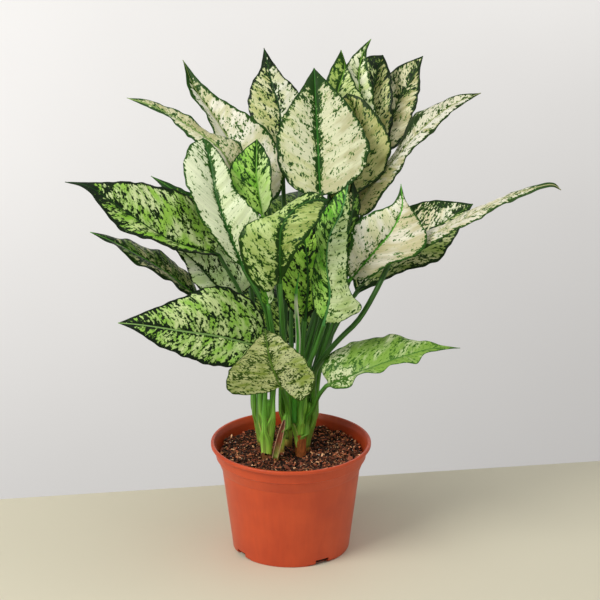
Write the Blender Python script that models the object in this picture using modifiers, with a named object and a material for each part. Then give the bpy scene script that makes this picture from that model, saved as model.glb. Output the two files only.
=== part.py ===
"""A potted chinese evergreen: a variegated foliage plant in a plastic nursery pot.

Lengths are millimetres until an object is made, and metres from there on. +Z is up, the origin is
the middle of the pot's underside, and the front of the plant faces -Y.
"""

import math

import bmesh
import bpy
import numpy as np

METRES = 0.001
GAP = 0.3

# Pot
POT_HEIGHT = 112.0
LIP_RADIUS = 80.0
LIP_DEPTH = 3.6
LIP_TOP_WIDTH = 2.4
LIP_ROUND = 1.2
BAND_RADIUS = 75.8
BAND_DRAFT = 0.9
BAND_BOTTOM = 97.0
BAND_STEP = 1.5
BAND_STEP_HALF = 0.6
SHOULDER_RADIUS = 70.2
SHOULDER_STEP = 1.2
SHOULDER_HEIGHT = 86.0
SHOULDER_HALF = 1.5
BASE_RADIUS = 58.5
BASE_ROUND = 1.2
WALL = 1.6
FLOOR = 2.2
POT_SIDES = 48
NOTCH_TURNS = (-58.0, 32.0, 122.0, 212.0)
NOTCH_WIDTH = 15.0
NOTCH_HEIGHT = 5.5
NOTCH_INNER_RADIUS = 53.0
NOTCH_REACH = 23.0
STEP_WIDTH = 30.0
STEP_HEIGHT = 1.6
STEP_INNER_RADIUS = 55.5

# Potting mix
SOIL_TOP = 97.5
SOIL_EDGE_DROP = 1.0
SOIL_RINGS = (0.0, 11.0, 22.0, 33.0, 44.0, 55.0, 65.0)
SOIL_SIDES = 36
SOIL_CLEARANCE = 0.5
LUMP = 1.6

# Canes: foot (x, y), top (x, y, z) and radius, and how wide a cane is from its foot to its top
CANE_BOTTOM = 62.0
HOLE_CLEARANCE = 0.6
LEAN_START = SOIL_TOP + 4.0
CANE_FOOT_WIDTH = 0.88
CANE_TOP_WIDTH = 0.86
CANE_END_WIDTH = 0.5
CANE_END = 3.0
CANES = {
    "stem_left": dict(foot=(-24.0, -9.0), top=(-22.5, -7.0, 158.0), radius=6.2),
    "stem_right": dict(foot=(9.5, -1.5), top=(7.2, 1.0, 160.0), radius=5.2),
    "stem_far_right": dict(foot=(14.8, 9.4), top=(19.0, 2.0, 152.0), radius=4.4),
    "stem_middle": dict(foot=(-3.0, 22.0), top=(-3.0, 24.0, 168.0), radius=4.8),
    "stem_back_left": dict(foot=(-30.0, 26.0), top=(-31.0, 28.0, 160.0), radius=4.8),
    "stem_back_right": dict(foot=(13.0, 30.0), top=(15.0, 32.0, 166.0), radius=4.8),
    "shoot_front": dict(foot=(-14.5, -17.0), top=(-4.0, -9.5, 146.0), radius=3.2),
}

# Leaf sections: STALK_STEPS and BLADE_STEPS are shares of the stalk's and the blade's length, and
# ACROSS_STEPS run from the left margin to the right one
STALK_FOOT_RADIUS = 2.7
STALK_RADIUS = 2.2
STALK_RISE = 14.0
BLADE = 1.1
RIB = 2.4
RIB_FADE = 0.7
BLADE_TIP = 0.7
ARCH = 0.07
WAVE_LAG = 1.9
STEP = 0.02
STALK_STEPS = (0.0, 0.16, 0.36, 0.58, 0.8, 1.0)
BLADE_STEPS = (0.06, 0.15, 0.26, 0.38, 0.5, 0.62, 0.74, 0.85, 0.94, 1.0)
ACROSS_STEPS = (-1.0, -0.5, 0.0, 0.5, 1.0)
RING_POINTS = 2 * len(ACROSS_STEPS)

# The viewer's eye, in front of the plant and a little above it. The leaves are set out as they are seen
# from there: across is to the right of the pot's axis and up is above its foot, both as they look beside
# the pot, and toward is how far a point stands in front of the axis.
EYE = np.array((9.0, -2216.0, 1034.0))
VIEW_PITCH = math.radians(19.24)
VIEW_REACH = 2400.0
SIGHT_RISE = 243.0


def seen(across, up, toward):
    """The point that looks `across` and `up` from the pot's foot and stands `toward` before its axis."""
    forward = np.array((0.0, math.cos(VIEW_PITCH), -math.sin(VIEW_PITCH)))
    upward = np.array((0.0, math.sin(VIEW_PITCH), math.cos(VIEW_PITCH)))
    sight = forward * VIEW_REACH + upward * (up - SIGHT_RISE)
    sight[0] += across - EYE[0]
    return EYE + sight * ((-toward - EYE[1]) / sight[1])


# Each leaf names its cane, the height and turn at which its stalk leaves it (0 is right, 90 is back), the
# points that the stalk passes, and three lines from the blade's base to its tip: the midrib and the two
# margins, left and right as one looks along the leaf at its upper face. Waves are the margin's height,
# number and start in turns.
LEAVES = {
    "leaf_crown_front": dict(
        cane="stem_middle", height=150, turn=300,
        stalk=[(14, 230, -22), (24, 290, -18)],
        rib=[(29, 344, -20), (27, 393, -62), (25, 433, -98), (23, 475, -128)],
        left=[(4, 354, -18), (-12, 378, -38), (-15, 403, -58), (-5, 431, -82), (8, 451, -105)],
        right=[(52, 354, -18), (72, 372, -35), (79, 396, -56), (69, 420, -80), (55, 441, -98), (39, 459, -115)],
        waves=(2.0, 2.5, 0.1)),
    "leaf_crown_left": dict(
        cane="stem_middle", height=140, turn=205,
        stalk=[(-10, 230, -30), (-17, 285, -28)],
        rib=[(-22, 335, -35), (-48, 380, -75), (-77, 426, -110), (-98, 458, -128), (-108, 483, -140)],
        left=[(-38, 355, -38), (-62, 388, -60), (-84, 424, -90), (-101, 452, -114)],
        right=[(-10, 352, -48), (-6, 380, -72), (-22, 411, -95), (-46, 430, -106), (-74, 447, -118),
               (-92, 463, -129)],
        waves=(2.0, 3.0, 0.3)),
    "leaf_crown_back_left": dict(
        cane="stem_middle", height=158, turn=150,
        stalk=[(-5, 240, -48), (-6, 300, -62)],
        rib=[(-8, 365, -85), (-12, 436, -135), (-19, 459, -150), (-27, 495, -175)],
        left=[(-30, 390, -105), (-42, 430, -130), (-41, 455, -145), (-31, 474, -160)],
        right=[(12, 388, -110), (22, 420, -130), (10, 447, -145), (-10, 470, -160)],
        waves=(1.5, 2.0, 0.6)),
    "leaf_far_left_upper": dict(
        cane="stem_back_left", height=142, turn=172,
        stalk=[(-38, 240, -28), (-46, 300, -25)],
        rib=[(-50, 350, -22), (-69, 391, -35), (-95, 412, -55), (-118, 426, -72), (-141, 438, -85), (-164, 445, -95)],
        left=[(-64, 362, -10), (-80, 384, -20), (-96, 400, -38), (-115, 420, -60), (-136, 432, -80)],
        right=[(-42, 376, -42), (-52, 398, -55), (-83, 413, -66), (-106, 428, -80), (-137, 442, -93)],
        waves=(2.0, 3.0, 0.0)),
    "leaf_crown_folded": dict(
        cane="stem_middle", height=156, turn=0,
        stalk=[(26, 240, -45), (34, 310, -58)],
        rib=[(40, 360, -75), (42, 410, -110), (47, 451, -135), (54, 478, -150), (50, 493, -155)],
        left=[(16, 395, -100), (26, 435, -124), (37, 468, -143)],
        right=[(62, 385, -92), (76, 435, -120), (66, 456, -135), (58, 473, -146)],
        waves=(1.5, 2.0, 0.2)),
    "leaf_crown_right": dict(
        cane="stem_right", height=152, turn=90,
        stalk=[(24, 220, -14), (38, 280, -26)],
        rib=[(40, 338, -44), (60, 380, -78), (66, 420, -104), (56, 450, -122)],
        left=[(34, 370, -72), (38, 410, -98), (46, 438, -112)],
        right=[(68, 350, -58), (92, 370, -72), (100, 400, -86), (86, 428, -100), (70, 445, -112)],
        waves=(2.0, 2.5, 0.5)),
    "leaf_crown_tip": dict(
        cane="stem_back_right", height=156, turn=110,
        stalk=[(34, 240, -60), (48, 310, -78)],
        rib=[(60, 375, -100), (70, 430, -135), (68, 470, -160), (72, 490, -170), (80, 504, -180)],
        left=[(44, 418, -130), (48, 465, -155), (62, 487, -167), (73, 498, -176)],
        right=[(84, 415, -128), (83, 445, -142), (77, 475, -158), (76, 492, -168)],
        waves=(1.5, 2.0, 0.4)),
    "leaf_crown_dark": dict(
        cane="stem_back_right", height=148, turn=65,
        stalk=[(25, 180, -50), (36, 235, -78), (56, 305, -108)],
        rib=[(74, 368, -116), (80, 425, -154), (84, 464, -180), (92, 488, -194)],
        left=[(60, 425, -162), (62, 465, -188), (76, 486, -196)],
        right=[(98, 405, -136), (102, 440, -152), (100, 465, -169), (95, 482, -186)],
        waves=(1.5, 2.0, 0.7)),
    "leaf_crown_far": dict(
        cane="stem_back_right", height=140, turn=20,
        stalk=[(32, 180, -42), (46, 228, -68), (64, 304, -112)],
        rib=[(84, 372, -126), (97, 412, -154), (108, 443, -172), (120, 462, -184), (132, 487, -198)],
        left=[(82, 412, -176), (88, 455, -202), (108, 477, -204)],
        right=[(95, 389, -132), (107, 399, -138), (118, 414, -146), (128, 450, -168), (129, 472, -186)],
        waves=(1.5, 2.0, 0.9)),
    "leaf_right_upper": dict(
        cane="stem_far_right", height=148, turn=103,
        stalk=[(25, 175, -15), (37, 218, -22), (50, 270, -33)],
        rib=[(60, 325, -50), (82, 358, -68), (106, 386, -88), (133, 416, -108), (162, 438, -120), (190, 450, -126)],
        left=[(62, 350, -78), (90, 373, -104), (104, 393, -120), (114, 409, -130), (122, 427, -138),
              (134, 435, -140), (148, 440, -138), (168, 448, -131)],
        right=[(78, 330, -42), (98, 357, -58), (122, 392, -80), (146, 416, -96), (172, 439, -114)],
        waves=(1.5, 3.5, 0.2)),
    "leaf_right_sliver": dict(
        cane="stem_far_right", height=150, turn=147,
        stalk=[(26, 205, -8), (38, 240, -4)],
        rib=[(48, 268, -8), (57, 310, -14), (62, 342, -24), (61, 365, -34)],
        left=[(46, 292, -12), (51, 318, -16), (57, 345, -26)],
        right=[(58, 290, -12), (66, 314, -16), (69, 342, -26)],
        waves=(0.6, 1.5, 0.0)),
    "leaf_right_front": dict(
        cane="stem_far_right", height=142, turn=0,
        stalk=[(31, 186, 8), (44, 224, 9)],
        rib=[(58, 262, 12), (82, 290, 15), (100, 311, 15), (111, 335, 9), (110, 359, 0)],
        left=[(55, 276, 20), (58, 298, 20), (65, 320, 14), (82, 331, 8), (101, 339, 5), (107, 348, 3)],
        right=[(76, 264, 22), (100, 279, 30), (130, 290, 30), (136, 306, 24), (126, 327, 13), (115, 342, 6)],
        waves=(1.6, 2.5, 0.6)),
    "leaf_far_right": dict(
        cane="stem_far_right", height=136, turn=318,
        stalk=[(24, 172, 15), (34, 188, 20), (50, 206, 26), (67, 223, 28), (85, 253, 22)],
        rib=[(101, 287, 4), (135, 305, 9), (170, 322, 22), (205, 341, 32), (240, 354, 36), (270, 353, 33)],
        left=[(116, 302, -16), (150, 317, -10), (185, 335, 10), (215, 347, 23), (244, 357, 31)],
        right=[(122, 289, 13), (150, 304, 32), (185, 323, 42), (215, 339, 43), (245, 351, 40)],
        waves=(1.0, 4.0, 0.3)),
    "leaf_right_back": dict(
        cane="stem_far_right", height=142, turn=46,
        stalk=[(33, 190, -4), (50, 226, -10)],
        rib=[(66, 252, -18), (95, 280, -28), (130, 305, -38), (160, 325, -44), (182, 339, -48)],
        left=[(68, 280, -52), (92, 318, -74), (125, 340, -70), (155, 342, -58)],
        right=[(90, 262, -6), (120, 273, -6), (148, 284, -12), (163, 303, -24), (176, 328, -40)],
        waves=(1.5, 2.5, 0.1)),
    "leaf_left_long": dict(
        cane="stem_left", height=140, turn=165,
        stalk=[(-34, 200, 12), (-48, 245, 14)],
        rib=[(-72, 288, 22), (-122, 303, 45), (-165, 331, 58), (-204, 357, 62), (-226, 361, 62)],
        left=[(-95, 289, 48), (-130, 299, 72), (-165, 311, 82), (-190, 335, 78), (-207, 355, 67)],
        right=[(-74, 308, 2), (-100, 344, 2), (-140, 359, 20), (-180, 361, 45), (-207, 361, 58)],
        waves=(1.6, 3.0, 0.8)),
    "leaf_left_hidden": dict(
        cane="stem_back_left", height=136, turn=218,
        stalk=[(-44, 225, -24), (-54, 265, -25)],
        rib=[(-62, 300, -24), (-95, 333, -27), (-118, 353, -32), (-140, 367, -38)],
        left=[(-76, 303, -14), (-102, 326, -17), (-122, 350, -27)],
        right=[(-72, 322, -31), (-93, 346, -33), (-115, 357, -36)],
        waves=(0.8, 2.0, 0.0)),
    "leaf_left_front": dict(
        cane="stem_left", height=150, turn=215,
        stalk=[(-22, 200, 30), (-25, 232, 41)],
        rib=[(-47, 274, 37), (-61, 307, 32), (-75, 347, 16), (-81, 382, -5), (-88, 405, -25)],
        left=[(-64, 288, 40), (-84, 316, 42), (-102, 350, 32), (-107, 378, 14), (-102, 397, -8)],
        right=[(-33, 294, 38), (-30, 324, 32), (-54, 352, 14), (-66, 381, -6), (-80, 400, -20)],
        waves=(2.2, 3.5, 0.4)),
    "leaf_left_small": dict(
        cane="stem_left", height=152, turn=60,
        stalk=[(-22, 230, 4), (-26, 285, 4)],
        rib=[(-28, 326, 0), (-34, 365, -16), (-34, 404, -36)],
        left=[(-48, 340, 2), (-62, 368, -12), (-53, 388, -26)],
        right=[(-20, 340, 6), (-19, 362, 0), (-24, 390, -20)],
        waves=(1.2, 2.0, 0.2)),
    "leaf_left_bud": dict(
        cane="stem_left", height=148, turn=305,
        stalk=[(-15, 184, 32), (-19, 214, 46)],
        rib=[(-23, 238, 49), (-24, 247, 51), (-28, 259, 50)],
        left=[(-28, 241, 46), (-31, 250, 46)],
        right=[(-20, 243, 53), (-22, 253, 53)],
        waves=(0.3, 1.5, 0.0)),
    "leaf_centre_front": dict(
        cane="stem_right", height=140, turn=188,
        stalk=[(-6, 190, 30), (-9, 228, 50)],
        rib=[(-11, 260, 60), (-11, 290, 68), (-9, 316, 68), (4, 334, 60), (22, 343, 52), (38, 343, 46)],
        left=[(-24, 251, 60), (-43, 267, 60), (-51, 291, 62), (-49, 314, 58), (-22, 328, 50), (2, 343, 44),
              (22, 351, 42)],
        right=[(2, 284, 76), (12, 302, 82), (25, 318, 76), (31, 330, 66), (35, 338, 54)],
        waves=(1.6, 2.5, 0.0)),
    "leaf_centre_hanging": dict(
        cane="stem_right", height=136, turn=284,
        stalk=[(16, 172, 20), (25, 195, 32)],
        rib=[(33, 218, 42), (39, 250, 50), (36, 275, 50), (38, 305, 38), (50, 330, 25), (57, 358, 10)],
        left=[(24, 234, 38), (20, 255, 38), (25, 285, 32), (26, 318, 18), (40, 343, 12)],
        right=[(52, 222, 52), (71, 236, 50), (60, 250, 52), (56, 275, 48), (57, 302, 36), (59, 335, 20)],
        waves=(1.8, 3.5, 0.9)),
    "leaf_centre_inner": dict(
        cane="stem_right", height=156, turn=325,
        stalk=[(11, 180, 2), (12, 200, 4)],
        rib=[(14, 222, 4), (17, 262, 6), (14, 300, -2), (6, 335, -16)],
        left=[(-4, 238, 8), (-12, 265, 6), (-6, 300, -6)],
        right=[(28, 240, 6), (34, 268, 6), (28, 305, -6)],
        waves=(1.2, 2.0, 0.5)),
    "leaf_low_front": dict(
        cane="shoot_front", height=134, turn=312,
        stalk=[(-5, 142, 30)],
        rib=[(-9, 155, 42), (-16, 170, 66), (-22, 188, 95), (-26, 214, 128)],
        left=[(8, 143, 46), (22, 153, 58), (24, 168, 75), (10, 187, 98), (-10, 206, 118)],
        right=[(-28, 150, 46), (-56, 148, 56), (-65, 160, 72), (-57, 178, 92), (-40, 197, 112)],
        waves=(1.6, 3.0, 0.3)),
    "leaf_left_narrow": dict(
        cane="stem_back_left", height=130, turn=264,
        stalk=[(-46, 195, -4), (-68, 222, 2)],
        rib=[(-92, 244, 8), (-124, 270, 22), (-155, 289, 32), (-182, 303, 34), (-201, 311, 32)],
        left=[(-106, 250, 22), (-136, 271, 42), (-150, 276, 48), (-172, 294, 44)],
        right=[(-98, 262, -8), (-124, 287, 0), (-152, 299, 10), (-180, 307, 24)],
        waves=(1.6, 4.0, 0.1)),
    "leaf_left_inner": dict(
        cane="stem_left", height=144, turn=115,
        stalk=[(-34, 195, 2), (-46, 222, 8)],
        rib=[(-60, 246, 14), (-75, 258, 18), (-95, 280, 20), (-124, 304, 18)],
        left=[(-72, 247, 24), (-96, 258, 30), (-107, 280, 28), (-117, 296, 24)],
        right=[(-44, 253, 2), (-33, 268, -6), (-48, 287, -12), (-76, 302, -10), (-104, 307, 4)],
        waves=(1.0, 2.0, 0.0)),
    "leaf_low_left": dict(
        cane="stem_left", height=132, turn=250,
        stalk=[(-25, 172, 30)],
        rib=[(-31, 196, 46), (-70, 206, 68), (-110, 212, 90), (-150, 218, 104), (-173, 220, 106)],
        left=[(-33, 183, 60), (-60, 176, 84), (-95, 182, 100), (-130, 196, 110), (-155, 212, 110)],
        right=[(-27, 222, 31), (-42, 245, 26), (-74, 257, 40), (-110, 246, 64), (-146, 231, 92)],
        waves=(1.4, 2.5, 0.7)),
    "leaf_low_right": dict(
        cane="stem_right", height=122, turn=335,
        stalk=[(22, 134, 15), (28, 148, 27)],
        rib=[(35, 157, 34), (60, 167, 42), (91, 179, 46), (118, 188, 46), (140, 194, 44), (169, 195, 40)],
        left=[(31, 175, 24), (40, 190, 16), (60, 200, 9), (72, 202, 8), (94, 208, 12), (121, 204, 25), (137, 201, 34),
              (150, 198, 40)],
        right=[(40, 155, 40), (56, 155, 52), (68, 167, 58), (88, 172, 61), (106, 178, 62), (115, 181, 60),
               (125, 180, 59), (134, 188, 54), (148, 193, 48)],
        waves=(1.8, 4.5, 0.5)),
    "leaf_back_left": dict(
        cane="stem_back_left", height=150, turn=84,
        stalk=[(-34, 215, -52)],
        rib=[(-42, 262, -66), (-58, 300, -100), (-72, 330, -134), (-84, 346, -168)],
        left=[(-66, 290, -84), (-92, 322, -112), (-98, 344, -146)],
        right=[(-32, 292, -98), (-42, 326, -136), (-62, 346, -158)],
        waves=(1.6, 2.5, 0.2)),
    "leaf_back_middle": dict(
        cane="stem_middle", height=150, turn=50,
        stalk=[(0, 215, -56)],
        rib=[(2, 262, -80), (4, 305, -118), (6, 338, -158), (8, 352, -196)],
        left=[(-22, 280, -92), (-32, 318, -132), (-18, 345, -172)],
        right=[(26, 280, -92), (38, 318, -132), (30, 345, -172)],
        waves=(1.6, 2.5, 0.6)),
    "leaf_back_right": dict(
        cane="stem_back_right", height=132, turn=330,
        stalk=[(32, 194, -40), (46, 226, -50)],
        rib=[(64, 248, -60), (90, 278, -90), (108, 298, -120), (120, 308, -150)],
        left=[(62, 278, -78), (82, 306, -110), (98, 321, -140)],
        right=[(92, 262, -76), (124, 284, -102), (128, 302, -132)],
        waves=(1.6, 2.5, 0.8)),
    "leaf_back_low_left": dict(
        cane="stem_back_left", height=126, turn=128,
        stalk=[(-42, 180, -48)],
        rib=[(-56, 206, -66), (-78, 222, -98), (-96, 228, -130), (-108, 222, -160)],
        left=[(-72, 200, -74), (-100, 208, -100), (-116, 214, -132)],
        right=[(-54, 226, -88), (-72, 244, -122), (-94, 240, -150)],
        waves=(1.6, 2.5, 0.4)),
    "leaf_back_low_middle": dict(
        cane="stem_middle", height=118, turn=92,
        stalk=[(-3, 158, -40), (-3, 176, -56)],
        rib=[(1, 198, -76), (-6, 226, -106), (-12, 250, -140), (-16, 264, -174)],
        left=[(-30, 206, -84), (-52, 236, -116), (-46, 262, -150)],
        right=[(28, 204, -92), (38, 232, -126), (22, 258, -160)],
        waves=(1.6, 2.5, 0.1)),
}

# The new leaf, still rolled up into a spike: its width along its line is a share of its radius
SPIKE = dict(cane="stem_right", height=134, turn=235,
             line=[(5, 172, 22), (7, 203, 30), (5, 248, 38), (8, 270, 39)],
             radius=2.5)
SPIKE_RISE = 12.0
SPIKE_STEPS = (0.0, 0.15, 0.3, 0.45, 0.6, 0.75, 0.88, 1.0)
SPIKE_WIDTHS = (1.0, 0.98, 0.95, 1.0, 1.0, 0.85, 0.6, 0.2)

# The small pale shoot behind the front one
PALE_SHOOT = dict(points=[(-9.0, -2.0, 84.0), (-9.2, -1.6, 100.0), (-8.4, -0.6, 114.0), (-7.6, 0.4, 128.0)],
                  radii=(2.6, 2.6, 2.0, 0.5))
PALE_HOLE_DEPTH = 32.0
CANE_HOLE_DEPTH = 80.0

# The dry sheath, a gutter of papery skin that stands open against the front shoot: its height, its outer
# radius and the half angle that it goes round, from its foot to its tip
SHEATH_SKIN = 0.8
SHEATH_FACING = math.radians(255.0)
SHEATH_POINTS = 7
SHEATH = [(102.0, 2.9, 1.5), (110.0, 3.2, 1.6), (120.0, 3.2, 1.5), (130.0, 2.8, 1.3), (136.0, 2.2, 1.2),
          (140.0, 1.5, 1.0)]


def curve_through(points, steps=16):
    """A smooth line through the points, a centripetal Catmull-Rom curve."""
    given = [np.array(p, float) for p in points]
    given = [2 * given[0] - given[1]] + given + [2 * given[-1] - given[-2]]
    line = []
    for a, b, c, d in zip(given, given[1:], given[2:], given[3:]):
        at_b = np.linalg.norm(b - a) ** 0.5
        at_c = at_b + np.linalg.norm(c - b) ** 0.5
        at_d = at_c + np.linalg.norm(d - c) ** 0.5
        for t in np.linspace(at_b, at_c, steps, endpoint=False):
            ab = a + (b - a) * (t / at_b)
            bc = b + (c - b) * ((t - at_b) / (at_c - at_b))
            cd = c + (d - c) * ((t - at_c) / (at_d - at_c))
            abc = ab + (bc - ab) * (t / at_c)
            bcd = bc + (cd - bc) * ((t - at_b) / (at_d - at_b))
            line.append(abc + (bcd - abc) * ((t - at_b) / (at_c - at_b)))
    line.append(given[-2])
    return np.array(line)


def points_along(line, shares):
    """The points at these shares of the line's length."""
    lengths = np.concatenate(([0.0], np.cumsum(np.linalg.norm(np.diff(line, axis=0), axis=1))))
    wanted = np.array(shares) * lengths[-1]
    return np.stack([np.interp(wanted, lengths, line[:, k]) for k in range(3)], axis=1)


def unit(vector):
    return vector / np.linalg.norm(vector)


def directions(line, shares):
    """The line's direction at these shares of its length."""
    ahead = points_along(line, [min(1.0, t + STEP) for t in shares])
    behind = points_along(line, [max(0.0, t - STEP) for t in shares])
    return [unit(a - b) for a, b in zip(ahead, behind)]


def square_to(vector, along):
    """The part of the vector that is square to `along`, with length 1."""
    return unit(vector - along * np.dot(vector, along))


def cane_axis(cane, height):
    """The middle of a cane at this height. It is upright in the soil and leans above it."""
    foot, top = cane["foot"], cane["top"]
    share = max(0.0, (height - LEAN_START) / (top[2] - LEAN_START))
    return np.array((foot[0] + (top[0] - foot[0]) * share, foot[1] + (top[1] - foot[1]) * share, height))


def cane_outline(cane):
    """The cane's height and radius, from its bottom in the mix to its rounded top."""
    top = cane["top"][2]
    widths = ((CANE_BOTTOM, CANE_FOOT_WIDTH), (LEAN_START, CANE_FOOT_WIDTH),
              ((LEAN_START + top) / 2, 1.0), (top - CANE_END, CANE_TOP_WIDTH), (top, CANE_END_WIDTH))
    return [(height, width * cane["radius"]) for height, width in widths]


def stalk_foot(leaf):
    """Where the stalk's middle starts, beside its cane."""
    cane = CANES[leaf["cane"]]
    turn = math.radians(leaf["turn"])
    reach = np.interp(leaf["height"], *zip(*cane_outline(cane))) + STALK_FOOT_RADIUS + GAP
    return cane_axis(cane, leaf["height"]) + reach * np.array((math.cos(turn), math.sin(turn), 0.0))


def blade_sections(leaf):
    """Points across the blade's middle surface and its normals there, station by station."""
    base, *_, tip = leaf["rib"]
    rib = curve_through([seen(*p) for p in leaf["rib"]])
    left = curve_through([seen(*p) for p in [base] + leaf["left"] + [tip]])
    right = curve_through([seen(*p) for p in [base] + leaf["right"] + [tip]])
    ribs, lefts, rights = (points_along(line, BLADE_STEPS) for line in (rib, left, right))
    alongs = directions(rib, BLADE_STEPS)
    height, number, start = leaf["waves"]
    sections = []
    for i, t in enumerate(BLADE_STEPS):
        along = alongs[i]
        if i == len(BLADE_STEPS) - 1:
            side = square_to(sections[-1][0][-1] - sections[-1][0][0], along)
            lefts[i] = ribs[i] - side * BLADE_TIP
            rights[i] = ribs[i] + side * BLADE_TIP
        normals = {
            -1: unit(np.cross(ribs[i] - lefts[i], along)),
            1: unit(np.cross(rights[i] - ribs[i], along)),
        }
        normals[0] = unit(normals[-1] + normals[1])
        points, faces = [], []
        for s in ACROSS_STEPS:
            hand = int(np.sign(s))
            edge = lefts[i] if s < 0 else rights[i]
            reach = abs(s)
            arch = ARCH * np.linalg.norm(edge - ribs[i]) * 4 * reach * (1 - reach)
            lag = WAVE_LAG if hand > 0 else 0.0
            wave = height * reach ** 2 * math.sin(math.pi * t) * math.sin(
                2 * math.pi * (number * t + start) + lag)
            points.append(ribs[i] + (edge - ribs[i]) * reach + normals[hand] * (arch + wave))
            faces.append(normals[hand])
        sections.append((points, faces))
    return sections


def blade_rings(leaf):
    """One closed ring of ten points for each station of the blade, its upper face first."""
    rings = []
    for t, (points, normals) in zip(BLADE_STEPS, blade_sections(leaf)):
        upper, lower = [], []
        for s, point, normal in zip(ACROSS_STEPS, points, normals):
            half = BLADE / 2 * (1 - t) + BLADE_TIP / 2 * t
            keel = (RIB - BLADE) * (1 - t) ** RIB_FADE if s == 0 else 0.0
            upper.append(point + normal * half)
            lower.append(point - normal * (half + keel))
        rings.append(upper + lower[::-1])
    return rings


def stalk_rings(leaf, blade_ring):
    """Ten-sided rings from the cane to the blade's base, turned so that they run into the blade."""
    foot = stalk_foot(leaf)
    rise = foot + np.array((0.0, 0.0, STALK_RISE))
    line = curve_through([foot, rise] + [seen(*p) for p in leaf["stalk"]] + [seen(*leaf["rib"][0])])
    centres = points_along(line, STALK_STEPS)
    alongs = directions(line, STALK_STEPS)
    across = blade_ring[len(ACROSS_STEPS) - 1] - blade_ring[0]
    share = 2 * math.pi / RING_POINTS
    angles = [math.pi - share * (k + 0.5) for k in range(RING_POINTS)]
    rings = []
    for t, centre, along in reversed(list(zip(STALK_STEPS, centres, alongs))):
        across = square_to(across, along)
        normal = np.cross(across, along)
        radius = STALK_FOOT_RADIUS + (STALK_RADIUS - STALK_FOOT_RADIUS) * min(1.0, 2 * t)
        rings.append([centre + radius * (math.cos(a) * across + math.sin(a) * normal) for a in angles])
    return rings[::-1]


def leaf_mesh(name, leaf):
    """The whole leaf as one closed solid, with both faces of the blade split alike."""
    blades = blade_rings(leaf)
    rings = stalk_rings(leaf, blades[0]) + blades
    bm = bmesh.new()
    rows = [[bm.verts.new(p * METRES) for p in ring] for ring in rings]
    count = len(rows[0])
    for near, far in zip(rows, rows[1:]):
        for k in range(count):
            m = (k + 1) % count
            if k < count // 2:
                bm.faces.new((near[k], near[m], far[m]))
                bm.faces.new((near[k], far[m], far[k]))
            else:
                bm.faces.new((near[k], near[m], far[k]))
                bm.faces.new((near[m], far[m], far[k]))
    bm.faces.new(rows[0])
    bm.faces.new(rows[-1])
    bmesh.ops.recalc_face_normals(bm, faces=bm.faces)
    mesh = bpy.data.meshes.new(name)
    bm.to_mesh(mesh)
    bm.free()
    return mesh


def material(name, colour, roughness):
    made = bpy.data.materials.new(name)
    made.use_nodes = True
    shader = made.node_tree.nodes["Principled BSDF"]
    shader.inputs["Base Color"].default_value = (*colour, 1.0)
    shader.inputs["Roughness"].default_value = roughness
    shader.inputs["Metallic"].default_value = 0.0
    return made


def collection(name):
    made = bpy.data.collections.new(name)
    bpy.context.scene.collection.children.link(made)
    return made


def place(name, mesh, finish, group):
    """An object made of this mesh, shaded smooth except at sharp corners."""
    mesh.shade_smooth()
    mesh.set_sharp_from_angle(angle=math.radians(40))
    mesh.materials.append(finish)
    made = bpy.data.objects.new(name, mesh)
    group.objects.link(made)
    return made


def apply_modifiers(obj):
    """A mesh that is this object as its modifiers leave it."""
    graph = bpy.context.evaluated_depsgraph_get()
    mesh = bpy.data.meshes.new_from_object(obj.evaluated_get(graph))
    bm = bmesh.new()
    bm.from_mesh(mesh)
    bmesh.ops.remove_doubles(bm, verts=bm.verts, dist=0.00001)
    bm.to_mesh(mesh)
    bm.free()
    return mesh


def turned(name, profile, sides, group):
    """The profile, as (radius, height) pairs, turned round the Z axis by a Screw modifier."""
    mesh = bpy.data.meshes.new(name)
    points = [(r * METRES, 0.0, z * METRES) for r, z in profile]
    mesh.from_pydata(points, [(i, i + 1) for i in range(len(points) - 1)], [])
    made = bpy.data.objects.new(name, mesh)
    group.objects.link(made)
    screw = made.modifiers.new("turn", "SCREW")
    screw.steps = sides
    screw.render_steps = sides
    screw.use_merge_vertices = True
    screw.merge_threshold = 0.00001
    return made


def tube(name, points, radii, sides, group):
    """A tube through the points with a radius at each, made from a curve and closed at both ends."""
    curve = bpy.data.curves.new(name, "CURVE")
    curve.dimensions = "3D"
    curve.bevel_depth = METRES
    curve.bevel_resolution = sides
    curve.use_fill_caps = True
    spline = curve.splines.new("POLY")
    spline.points.add(len(points) - 1)
    for spot, point, radius in zip(spline.points, points, radii):
        spot.co = (*[c * METRES for c in point], 1.0)
        spot.radius = radius
    guide = bpy.data.objects.new(name, curve)
    group.objects.link(guide)
    mesh = apply_modifiers(guide)
    bpy.data.objects.remove(guide)
    return mesh


def difference(obj, cutter, label):
    cut = obj.modifiers.new(label, "BOOLEAN")
    cut.operation = "DIFFERENCE"
    cut.solver = "EXACT"
    if isinstance(cutter, bpy.types.Collection):
        cut.operand_type = "COLLECTION"
        cut.collection = cutter
    else:
        cut.object = cutter


def box_cutter(name, size, centre, turn, group):
    """A box turned about the pot's axis, to cut with."""
    bm = bmesh.new()
    bmesh.ops.create_cube(bm, size=1.0)
    for vert in bm.verts:
        vert.co = [c * s * METRES for c, s in zip(vert.co, size)]
    mesh = bpy.data.meshes.new(name)
    bm.to_mesh(mesh)
    bm.free()
    made = bpy.data.objects.new(name, mesh)
    made.location = [c * METRES for c in centre]
    made.rotation_euler = (0.0, 0.0, turn)
    made.hide_render = True
    made.display_type = "WIRE"
    group.objects.link(made)
    return made


def wall_radius(height):
    """The pot's outer radius at this height, below the shoulder."""
    share = height / SHOULDER_HEIGHT
    return BASE_RADIUS + (SHOULDER_RADIUS - SHOULDER_STEP - BASE_RADIUS) * share


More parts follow.
